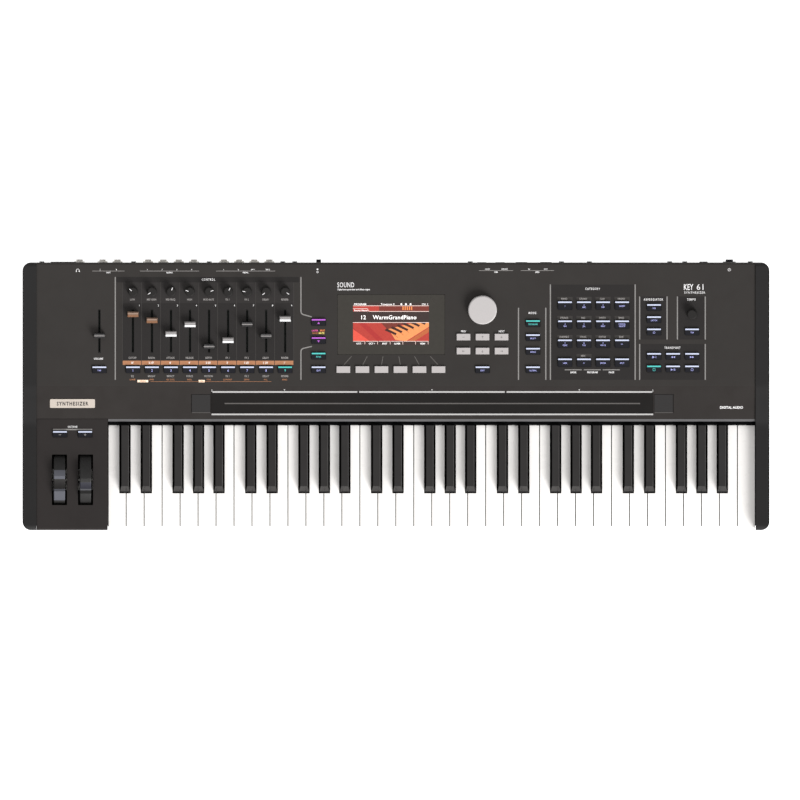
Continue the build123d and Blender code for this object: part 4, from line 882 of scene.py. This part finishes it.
SLOT_HALF_WIDTH, SLOT_HALF_LENGTH, SLOT_SHADE = 1.1, 27.9, 0.55
slots = [foot_of(f"fader_{number}_slide", f"fader_{number}") for number in range(1, 10)]
slots.append(foot_of("volume_fader_slide", "volume_fader"))
slot_windows = [(x - SLOT_HALF_WIDTH, y - SLOT_HALF_LENGTH, x + SLOT_HALF_WIDTH, y + SLOT_HALF_LENGTH)
                for x, y in slots]
knob_windows = [bush_window(f"knob_{number}_turn", f"knob_{number}") for number in range(1, 10)]
TRANSPORT_LEFT, TRANSPORT_RIGHT = play_caps[0].x - 18.8, play_caps[2].x + 17.2
ARP_RIGHT, TEMPO_LEFT = TRANSPORT_LEFT + 35.8, TRANSPORT_RIGHT - 36.4
ARP_TOP, ARP_FOOT, TRANSPORT_TOP = 130.5, 74.3, 68.4
transport_windows = button_windows(transport_caps)
tempo_windows = [bush_window("tempo_knob_turn", "tempo_knob"), *transport_windows]

zones = Print()
for x0, y0, x1, y1, windows in (
    (cells_left, FADER_FOOT, cells_right, KNOB_FOOT, slot_windows),
    (pad_caps[0].left - 9.2, FRAME_FOOT, pad_caps[3].right + 7.6, FRAME_TOP - 10, button_windows(pad_caps)),
    (TRANSPORT_LEFT, ARP_FOOT, ARP_RIGHT, ARP_TOP, transport_windows),
    (TEMPO_LEFT, ARP_FOOT, TRANSPORT_RIGHT, ARP_TOP, tempo_windows),
    (TRANSPORT_LEFT, FRAME_FOOT, TRANSPORT_RIGHT, TRANSPORT_TOP, transport_windows),
):
    zones.plate(x0, y0, x1, y1, windows, ZONE)
zones.make("panel_zones", zone_ink)
header = Print()
header.box(CONTROL_LEFT + 1, HEADER_FOOT, CONTROL_RIGHT - 2.5, FRAME_TOP, 0, ZONE)
header.make("control_header", header_ink)

cells = Print()
cells.plate(cells_left, KNOB_FOOT, cells_right, HEADER_FOOT, knob_windows, ZONE)
cells.make("knob_cells", cell_ink)

# near-black frames round each fader slot: painted shade that makes the slots look deep
slot_shades = Print()
for x0, y0, x1, y1 in slot_windows:
    slot_shades.plate(x0 - SLOT_SHADE, y0 - SLOT_SHADE, x1 + SLOT_SHADE, y1 + SLOT_SHADE, [(x0, y0, x1, y1)], CELL)
slot_shades.make("painted_slot_shade", slot_shade_ink)

hairs = Print()
for index in range(10):
    x = cells_left + COLUMN * index
    hairs.box(x - 0.25, FADER_FOOT, x + 0.25, HEADER_FOOT)
hairs.make("panel_hairlines", hair_ink)
soft_caps = sorted([cap for cap in grey_caps if cap.y < 50], key=lambda cap: cap.x)
screen_low, screen_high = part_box("display")
screen_x = middle_x((screen_low, screen_high))
LEAD_PITCH, LEAD_TOP, LEAD_FOOT = 20.6, 52.3, 41.2
leads = Print()
for index, cap in enumerate(soft_caps):
    top_x = screen_x + (index - 2.5) * LEAD_PITCH - 0.3
    leads.line([(top_x, LEAD_TOP), (cap.x + (top_x - cap.x) * 0.06, LEAD_FOOT)], 0.6)
leads.make("soft_button_leads", lead_ink)

FRAME_LINE, BRACKET_OUT = 1.5, -110.0
frames = Print()
frames.box(CONTROL_LEFT - FRAME_LINE / 2, FRAME_FOOT, CONTROL_LEFT + FRAME_LINE / 2, FRAME_TOP)
frames.line([(CONTROL_RIGHT, FRAME_TOP), (CONTROL_RIGHT, 110.6), (CONTROL_RIGHT + 0.7, 108.4),
             (CONTROL_RIGHT + 2.6, 107.0), (BRACKET_OUT, 103.8)], FRAME_LINE)
frames.line([(BRACKET_OUT, 65.3), (CONTROL_RIGHT + 2.6, 62.6), (CONTROL_RIGHT + 0.7, 61.2),
             (CONTROL_RIGHT, 59.0), (CONTROL_RIGHT, FRAME_FOOT)], FRAME_LINE)
mode_x = mode_column[0].x
for x, top, foot in (
    (mode_x - 19.0, 115.8, FRAME_FOOT), (mode_x + 16.7, 115.8, FRAME_FOOT),
    (pad_caps[0].x - 19.1, 146.3, FRAME_FOOT), (pad_caps[3].x + 17.1, 146.3, FRAME_FOOT),
    (TRANSPORT_LEFT, ARP_TOP, ARP_FOOT), (ARP_RIGHT, ARP_TOP, ARP_FOOT),
    (TEMPO_LEFT, ARP_TOP, ARP_FOOT), (TRANSPORT_RIGHT, ARP_TOP, ARP_FOOT),
    (TRANSPORT_LEFT, TRANSPORT_TOP, FRAME_FOOT), (TRANSPORT_RIGHT, TRANSPORT_TOP, FRAME_FOOT),
):
    frames.box(x - FRAME_LINE / 2, foot, x + FRAME_LINE / 2, top)
for first, last in zip(pad_caps[12:], pad_caps[13:]):
    frames.box(first.x - 0.4, 34.1, last.x - 3.0, 35.3)
frames.make("panel_frames", line_ink)

# lines over the rear sockets, with the sockets' names
jack_x = sorted(mount["pos_m"][0] / MM for mount in frame["record"]["mounts"] if mount["kind"] == "bore")
GROUPS = (
    (jack_x[0] + 16.7, jack_x[2] + 9.0, 163.8, "OUT", ("L", "R")),
    (jack_x[3] - 10.8, jack_x[6] + 6.6, 163.8, "AUDIO", ("1", "2", "3", "4")),
    (jack_x[7] - 10.2, jack_x[10] + 7.6, 163.8, "PEDAL", ("1", "2", "SW 1", "SW 2")),
    (108.5, 153.0, 164.4, "USB", ("HOST", "DEVICE")),
    (163.0, 206.5, 164.4, "MIDI", ("IN", "OUT")),
)
rear_lines, white_words, small_words = Print(), Print(), Print()
for x0, x1, y, group, sockets in GROUPS:
    rear_lines.box(x0, y - 0.25, x1, y + 0.25)
    white_words.text(group, (x0 + x1) / 2, y - 2.0, 1.8, bold=0.08)
    for index, words in enumerate(sockets):
        x = x0 + (x1 - x0) * (index + 0.5) / len(sockets)
        white_words.text(words, x, y + 1.9, 1.7, bold=0.05)
rear_lines.make("socket_lines", label_ink)
PHONES_X, PHONES_Y, PHONES_RADIUS = -416.0, 164.6, 1.9
white_words.ring(PHONES_X, PHONES_Y, PHONES_RADIUS, 0.5, 0, INK, -20, 200, 12)
for x in (PHONES_X - PHONES_RADIUS, PHONES_X + PHONES_RADIUS):
    white_words.box(x - 0.6, PHONES_Y - 2.0, x + 0.6, PHONES_Y - 0.2, 0, INK)
gain_x = middle_x(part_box("gain_knob"))
white_words.disc(gain_x - 1.4, 166.0, 1.1, 0, INK)
white_words.ring(gain_x - 1.4, 162.4, 1.0, 0.5, 0, INK)
switch_x = middle_x(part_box("power_rocker"))
white_words.ring(switch_x, 165.6, 1.8, 0.45, 0, INK, 120, 420, 16)
white_words.box(switch_x - 0.25, 165.4, switch_x + 0.25, 167.8, 0, INK)

# headings and labels
KNOB_WORDS = ("LOW", "MID GAIN", "MID FREQ", "HIGH", "MOD RATE", "FX 1", "FX 2", "DELAY", "REVERB")
FADER_WORDS = ("CUTOFF", "RESON", "ATTACK", "RELEASE", "DEPTH", "FX 1", "FX 2", "DELAY", "REVERB")
UNDER_WORDS = ("EQ", "BRIGHT", "IMPACT", "FORCE", "MOTION", "FX 1", "FX 2", "DELAY", "REVERB")
ORANGE_WORDS = ("LOWER", "UPPER", "KEY CLICK", "SWELL", "TONE", "SLOW/FAST", "DEPTH", "FULL", "BRAKE")
PIPE_WORDS = ("16'", "5 1/3'", "8'", "4'", "2 2/3'", "2'", "1 3/5'", "1 1/3'", "1'")
PAD_NAMES = ("PIANO", "E.PIANO", "CLAV", "ORGAN", "STRINGS", "PAD", "SYNTH", "BRASS", "ENSEMBLE", "VOCAL",
             "GUITAR", "BASS")
ORGAN_LINE = (-321.0, 19.1, -163.0, 19.5)
ORGAN_TABS = ((-338.0, -324.0, "ORGAN"), (-258.0, -250.0, "ON"))
orange_words, band_words = Print(), Print()
for index, x in enumerate(column_x):
    for row, y in ((KNOB_WORDS, 126.6), (FADER_WORDS, 50.4), (UNDER_WORDS, 26.4)):
        small_words.text(row[index], x - 0.6, y, 2.5, squeeze=0.78, bold=0.07)
    orange_words.text(ORANGE_WORDS[index], x - 0.6, 21.9, 1.9, squeeze=0.8, bold=0.05)
    orange_words.box(cell_x[index] - COLUMN / 2 + 0.4, 41.2, cell_x[index] + COLUMN / 2 - 0.4, 46.6)
    band_words.text(PIPE_WORDS[index], cell_x[index] + 0.4, 43.9, 2.6, HAIR, INK, squeeze=0.8, bold=0.1)
    white_words.text(str(index + 1), x + 8.4, 118.8, 2.2, ZONE, INK, bold=0.05)
orange_words.box(*ORGAN_LINE)
orange_words.make("organ_print", orange_ink)
band_words.make("organ_footages", ink("pale_ink", srgb(244, 236, 230)))
# the cream tabs are print that glows: painted glow
painted_glow_tabs, tab_words = Print(), Print()
for x0, x1, words in ORGAN_TABS:
    painted_glow_tabs.box(x0, 18.4, x1, 21.4)
    tab_words.text(words, (x0 + x1) / 2, 19.9, 1.7, HAIR, INK, bold=0.05)
painted_glow_tabs.make("organ_tabs", ink("cream_ink", srgb(250, 222, 196), 0.6, 0.2))
tab_words.make("organ_tab_words", ink("brown_ink", srgb(150, 84, 50)))

HEADINGS = (
    ("CONTROL", (CONTROL_LEFT + CONTROL_RIGHT) / 2 + 0.4, 152.7),
    ("MODE", mode_x - 0.8, 109.0),
    ("CATEGORY", (pad_caps[1].x + pad_caps[2].x) / 2 - 1.2, 140.6),
    ("ARPEGGIATOR", (TRANSPORT_LEFT + ARP_RIGHT) / 2, 126.6),
    ("TEMPO", (TEMPO_LEFT + TRANSPORT_RIGHT) / 2, 126.6),
    ("TRANSPORT", (TRANSPORT_LEFT + TRANSPORT_RIGHT) / 2, 63.5),
)
for words, x, y in HEADINGS:
    white_words.text(words, x, y, 2.8, ZONE, INK, squeeze=0.74, spacing=1.36, bold=0.07)
white_words.text("VOLUME", VOLUME_X - 1.2, 49.2, 2.5, squeeze=0.8, spacing=1.16, bold=0.07)
for words, x in (("PREV", DIAL_X - COLUMN), ("NEXT", DIAL_X + COLUMN)):
    white_words.text(words, x, 85.0, 2.3, squeeze=0.9, bold=0.07)
for index, words in enumerate(("BANK", "PROGRAM", "PAGE")):
    white_words.text(words, pad_caps[12 + index].x + 11.0, 31.4, 2.3, ZONE, INK, squeeze=0.9, bold=0.07)
MODEL_RIGHT = 404.0
white_words.text("61", MODEL_RIGHT, 143.0, 7.6, align="RIGHT", spacing=1.1)
white_words.text("KEY", MODEL_RIGHT - 15.5, 143.0, 7.6, align="RIGHT", squeeze=0.66, bold=0.12)
white_words.text("SYNTHESIZER", MODEL_RIGHT, 135.7, 2.8, align="RIGHT", spacing=1.25, squeeze=0.92,
                 bold=0.02)
screen_left = screen_low.x / MM
white_words.text("SOUND", screen_left - 0.5, 145.8, 6.4, align="LEFT", squeeze=0.66, spacing=1.1, bold=0.05)
white_words.text("Digital tone generation and effects engine", screen_left, 139.8, 2.0, align="LEFT",
                 squeeze=0.88, bold=0.07)
white_words.make("panel_words", white_ink)

pad_tabs = Print()
for cap, words in [*zip(pad_caps, PAD_NAMES), (pad_caps[13], "MISC")]:
    pad_tabs.box(cap.left - 0.8, cap.rear + 1.0, cap.right + 0.8, cap.rear + 5.8, ZONE, CELL)
    small_words.text(words, cap.x - 1.0, cap.rear + 3.3, 2.4, CELL, INK, squeeze=0.78, bold=0.08)
pad_tabs.make("pad_tabs", tab_ink)
small_words.make("panel_labels", label_ink)

layer_x = layer_caps[0].x
# these lettering inks glow a little: painted glow on print
for name, words, x, y, colour in (
    ("layer_word_pink", "LAYER", layer_x - 4.8, 86.0, (206, 84, 140)),
    ("layer_word_orange", "SPLIT", layer_x + 5.0, 86.0, (222, 128, 70)),
    ("layer_word_brown", "BANK", layer_x - 4.4, 82.6, (150, 92, 54)),
    ("layer_word_yellow", "MUTE", layer_x + 3.8, 82.6, (224, 206, 110)),
):
    words_print = Print()
    words_print.text(words, x, y, 2.2, squeeze=0.9, bold=0.09)
    words_print.make(name, ink(f"{name}_ink", srgb(*colour), 0.6, 0.15))

# ---------------------------------------------------------------- ribbon band and wheel block
ribbon_low, ribbon_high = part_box("ribbon_controller")
pad_left, pad_right = ribbon_low.x / MM + 0.6, ribbon_high.x / MM - 0.6
STRIP_LEFT, STRIP_RIGHT = pad_left + 26.2, pad_right - 26.2
STRIP_REAR, STRIP_FRONT = 5.8, -23.5
rails = Print(BAND)
edges = (STRIP_LEFT, -49.4, 143.3, STRIP_RIGHT)
for x0, x1 in zip(edges, edges[1:]):
    rails.box(x0 + 1.2, STRIP_REAR - 1.0, x1 - 1.2, STRIP_REAR + 1.0, 0, 0.45)
rails.box(STRIP_LEFT, STRIP_FRONT - 1.0, STRIP_RIGHT, STRIP_FRONT + 1.0, 0, 0.45)
for x in (-145.8, 47.0, 239.6):
    rails.prism([(x, STRIP_REAR + 1.3), (x + 1.1, STRIP_REAR + 3.4), (x - 1.1, STRIP_REAR + 3.4)], 0, 0.1)
for x in (STRIP_LEFT + 0.4, STRIP_RIGHT - 0.4):
    rails.box(x - 0.4, STRIP_REAR, x + 0.4, STRIP_REAR + 3.4, 0, 0.45)
rails.make("ribbon_rails", ink("rail_ink", srgb(172, 170, 169), 0.4), slot="ribbon_film")
trace = Print(BAND)
trace.box(STRIP_LEFT + 17, -10.1, STRIP_RIGHT - 17, -8.5, 0, 0.36)
for x in (pad_left, STRIP_RIGHT + 1.2):
    trace.box(x + 0.6, -21.6, x + 24.6, -20.9, 0, 0.36)
trace.make("ribbon_trace", ink("trace_ink", srgb(80, 77, 75), 0.5), slot="ribbon_film")
pad_faces = Print(BAND)
for x in (pad_left, STRIP_RIGHT + 1.2):
    pad_faces.box(x + 0.5, -20.6, x + 24.5, 2.2, 0, 0.34)
# the dark pad faces glow a little: painted glow
pad_faces.make("ribbon_pads", ink("pad_ink", srgb(30, 28, 28), 0.6, 0.1), slot="ribbon_film")

plate_x = middle_x(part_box("nameplate"))
badge = Print(BAND)
badge.text("SYNTHESIZER", plate_x, -9.3, 4.7, 0.9, 0.98, spacing=1.3, squeeze=0.8, bold=0.2)
badge.make("nameplate_word", ink("badge_ink", srgb(26, 23, 21)), slot="badge_plastic")
mark = Print(BAND)
mark.text("DIGITAL AUDIO", 438.5, -14.5, 3.1, 0, 0.1, squeeze=0.95, bold=0.12)
mark.make("band_word", white_ink)

first_x, last_x = transpose_caps[0].left, transpose_caps[1].right
block_lines, block_words = Print(BLOCK), Print(BLOCK)
block_lines.box(first_x, -44.2, last_x, -42.5)
block_lines.make("transpose_line", line_ink, slot="case_plastic")
block_words.text("OCTAVE", (first_x + last_x) / 2, -39.8, 2.5, squeeze=0.9, bold=0.05)
block_words.make("transpose_word", white_ink, slot="case_plastic")

# ---------------------------------------------------------------- painted highlight along the lip's bend, and the felt under it
panel_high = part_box("top_panel")[1]
block_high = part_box("wheel_panel")[1]
FELT_PROUD, LIP_TOP, LIP_FLANGE = 1.1, 77.0, 70.0
LIP_Y, FLANGE_FRONT = -34.9, -39.5
felt_left, felt_right = block_high.x + 0.6 * MM, panel_high.x - 0.3 * MM


def along_keys(name, profile, material, slot):
    """A closed strip over the keys. Its profile is (y, z) in the frame, in millimetres."""
    count = len(profile)
    points = [(x, y * MM, z * MM) for x in (felt_left, felt_right) for y, z in profile]
    faces = [tuple(range(count)), tuple(reversed(range(count, 2 * count)))]
    faces += [(i, count + i, count + (i + 1) % count, (i + 1) % count) for i in range(count)]
    return add_piece(name, points, faces, material, "root", slot)


BEND, EDGE_START, EDGE_END = 4.2, 106, 176
slope = math.radians(BAND_SLOPE)
bend_y, bend_z = LIP_Y + BEND, LIP_TOP + BEND * math.tan(slope) - BEND / math.cos(slope)
edge_angles = [math.radians(EDGE_START + (EDGE_END - EDGE_START) * step / 8) for step in range(9)]
highlight_profile = []
for radius, angles in ((BEND + 0.1, edge_angles), (BEND - 0.2, edge_angles[::-1])):
    highlight_profile += [(bend_y + radius * math.cos(a), bend_z + radius * math.sin(a)) for a in angles]
# a lighter strip on the lip's bend: painted highlight
along_keys("lip_painted_highlight", highlight_profile, lip_highlight_paint, "panel_metal")
felt_front, felt_rear, felt_top = FLANGE_FRONT + 0.1, LIP_Y - 0.1, LIP_FLANGE + FELT_PROUD
felt_profile = [(felt_front, LIP_FLANGE), (felt_front, felt_top), (felt_rear, felt_top),
                (felt_rear, LIP_FLANGE)]
along_keys("key_felt", felt_profile, felt, "foot_rubber")

# ---------------------------------------------------------------- screen
GLASS = 0.25
PIC_LEFT, PIC_RIGHT, PIC_FOOT, PIC_TOP = -56.2, 43.0, 67.0, 122.4
HEAD_LINE, TAB_LINE, NAME_LINE, FOOT_LINE = 118.4, 111.0, 96.5, 72.0


def on_glass(name, shapes, colour, low=0.02, high=0.04, glow=0.3):
    """One piece of lit screen of one colour. Shapes are plan outlines."""
    lit = Print()
    for outline in shapes:
        if len(outline) > 2:
            lit.prism(outline, GLASS + low, GLASS + high)
    return lit.make(name, ink(f"{name}_light", srgb(*colour), 0.25, glow), slot="display_window")


def in_view(outline, foot=FOOT_LINE, top=NAME_LINE):
    return clip(outline, PIC_LEFT, foot, PIC_RIGHT, top)


on_glass("screen_dark", [rectangle(PIC_LEFT, PIC_FOOT, PIC_RIGHT, PIC_TOP)], (52, 42, 40), 0.0, 0.02)
on_glass("screen_red", [rectangle(PIC_LEFT, FOOT_LINE, PIC_RIGHT, NAME_LINE),
                        rectangle(PIC_LEFT, TAB_LINE, PIC_LEFT + 34, HEAD_LINE)], (158, 56, 48))
stripes = [in_view([(x, FOOT_LINE), (x + 9, FOOT_LINE), (x - 17, NAME_LINE), (x - 26, NAME_LINE)])
           for x in (-46, -24)]
on_glass("screen_stripes", stripes, (150, 46, 44), 0.04, 0.05)
on_glass("screen_glow", [in_view([(PIC_LEFT, FOOT_LINE), (-34, FOOT_LINE), (PIC_LEFT, 88)])],
         (196, 76, 62), 0.05, 0.06)
on_glass("screen_ember", [rectangle(PIC_LEFT + 34, TAB_LINE, PIC_RIGHT, HEAD_LINE),
                          in_view([(-20, NAME_LINE), (14, NAME_LINE), (-10, 86)])], (104, 48, 40), 0.04, 0.05)
keys_lit = in_view([(-10, 88), (24, NAME_LINE), (PIC_RIGHT, NAME_LINE), (PIC_RIGHT, 91), (13, FOOT_LINE),
                    (-1, 74)])
on_glass("screen_keys", [keys_lit], (206, 132, 82), 0.05, 0.06)
on_glass("screen_key_side", [in_view([(15, FOOT_LINE), (24, FOOT_LINE), (PIC_RIGHT, 84), (PIC_RIGHT, 90)])],
         (164, 88, 54), 0.06, 0.07)
black_lit = []
for index in range(6):
    x, y = -15 + 7.6 * index, 84.2 + 2.7 * index
    black_lit.append(in_view([(x, y + 2.2), (x + 14.5, y - 4.2), (x + 16.0, y - 1.9), (x + 3.0, y + 4.6)]))
on_glass("screen_black_keys", black_lit, (58, 34, 32), 0.07, 0.08)
seams = []
for index in range(6):
    x, y = 2.5 + 7.0 * index, 76.6 + 3.4 * index
    seams.append(in_view([(x - 7.5, y + 5.2), (x, y), (x + 0.5, y + 0.3), (x - 7.0, y + 5.5)]))
on_glass("screen_seams", seams, (160, 84, 50), 0.06, 0.07)
sparks = [rectangle(x, HEAD_LINE - 5.6, x + 1.5, HEAD_LINE - 0.8) for x in (8.4, 11.2, 14.0, 16.8, 19.6)]
on_glass("screen_sparks", sparks, (210, 128, 74), 0.05, 0.06)
rules = [rectangle(PIC_LEFT, y - 0.35, PIC_RIGHT, y + 0.35) for y in (HEAD_LINE, NAME_LINE)]
rules.append(rectangle(-35.4, TAB_LINE - 0.35, PIC_RIGHT, TAB_LINE + 0.35))
rules.append(rectangle(PIC_LEFT, TAB_LINE + 3.4, -38.0, TAB_LINE + 4.0))
rules.append([(-38.0, TAB_LINE + 3.4), (-35.4, TAB_LINE - 0.35), (-34.6, TAB_LINE - 0.35),
              (-37.4, TAB_LINE + 4.0)])
for index in range(6):
    x = PIC_LEFT + (PIC_RIGHT - PIC_LEFT) * index / 6
    rules.append(rectangle(x + 0.3, FOOT_LINE - 0.3, x + 15.6, FOOT_LINE + 0.3))
    rules.append(rectangle(x + 15.2, FOOT_LINE - 4.0, x + 15.8, FOOT_LINE))
on_glass("screen_rules", rules, (214, 192, 184), 0.08, 0.1)
words = Print()
glass_low, glass_high = GLASS + 0.08, GLASS + 0.12
SOFT_PITCH = 16.55
for text, x, y, size, align in (
    ("PROGRAM", PIC_LEFT + 1.4, 120.5, 2.3, "LEFT"), ("Transpose: 0", -20.0, 120.5, 2.3, "LEFT"),
    ("CH. 1", PIC_RIGHT - 1.0, 120.5, 2.3, "RIGHT"),
    ("Sound Name", PIC_LEFT + 1.2, TAB_LINE + 1.4, 2.3, "LEFT"),
    ("12", PIC_LEFT + 9.4, 103.4, 5.2, "LEFT"), ("WarmGrandPiano", PIC_LEFT + 26.0, 103.4, 5.2, "LEFT"),
):
    words.text(text, x, y, size, glass_low, glass_high, align, spacing=1.04, bold=0.018 * size)
for index, text in enumerate(("OCT -", "OCT +", "SPLIT", "LAYER", "", "VIEW")):
    if text:
        x = PIC_LEFT + 8.2 + SOFT_PITCH * index
        words.text(text, x, 69.0, 2.2, glass_low, glass_high, squeeze=0.9, bold=0.05)
for x in (7.0, 13.0, 19.0):
    words.disc(x, 120.4, 1.2, glass_low, glass_high, 10)
words.make("screen_words", ink("screen_white", srgb(240, 238, 236), 0.3, 0.5), slot="display_window")

# ---------------------------------------------------------------- stage, light and camera
floor_mesh = bpy.data.meshes.new("floor")
REACH = 12.0
floor_corners = [(*corner, 0) for corner in rectangle(-REACH, -REACH, REACH, REACH)]
floor_mesh.from_pydata(floor_corners, [], [(0, 1, 2, 3)])
floor = in_scene("floor", floor_mesh)
floor.location.z = -0.0002
pale = Finish("pale_floor")
pale.put("Base Color", pale.ramp(pale.noise(3, 2), srgb(243, 243, 243), srgb(247, 247, 247)))
pale.put("Roughness", 0.8)
pale.put("Emission Color", (1, 1, 1, 1))
pale.put("Emission Strength", 0.82)
floor_mesh.materials.append(pale.material)

world = bpy.data.worlds.new("studio")
world.use_nodes = True
world.node_tree.nodes["Background"].inputs["Color"].default_value = (1.0, 1.0, 1.0, 1.0)
world.node_tree.nodes["Background"].inputs["Strength"].default_value = 0.8
bpy.context.scene.world = world

sun_data = bpy.data.lights.new("key", "SUN")
sun_data.energy = 4.1
sun_data.angle = math.radians(30)
sun = in_scene("key", sun_data)
SUN_FROM = Vector((1.0, -1.5, 0.95))
sun.rotation_euler = SUN_FROM.to_track_quat("Z", "Y").to_euler()

camera_data = bpy.data.cameras.new("camera")
camera_data.type = "ORTHO"
camera_data.ortho_scale = VIEW_WIDTH * MM
camera_data.clip_end = 50
camera = in_scene("camera", camera_data)
camera.location = (VIEW_MIDDLE[0] * MM, (VIEW_MIDDLE[1] + CASE_Y) * MM, 3.0)
camera.rotation_euler = (0, 0, 0)
bpy.context.scene.camera = camera
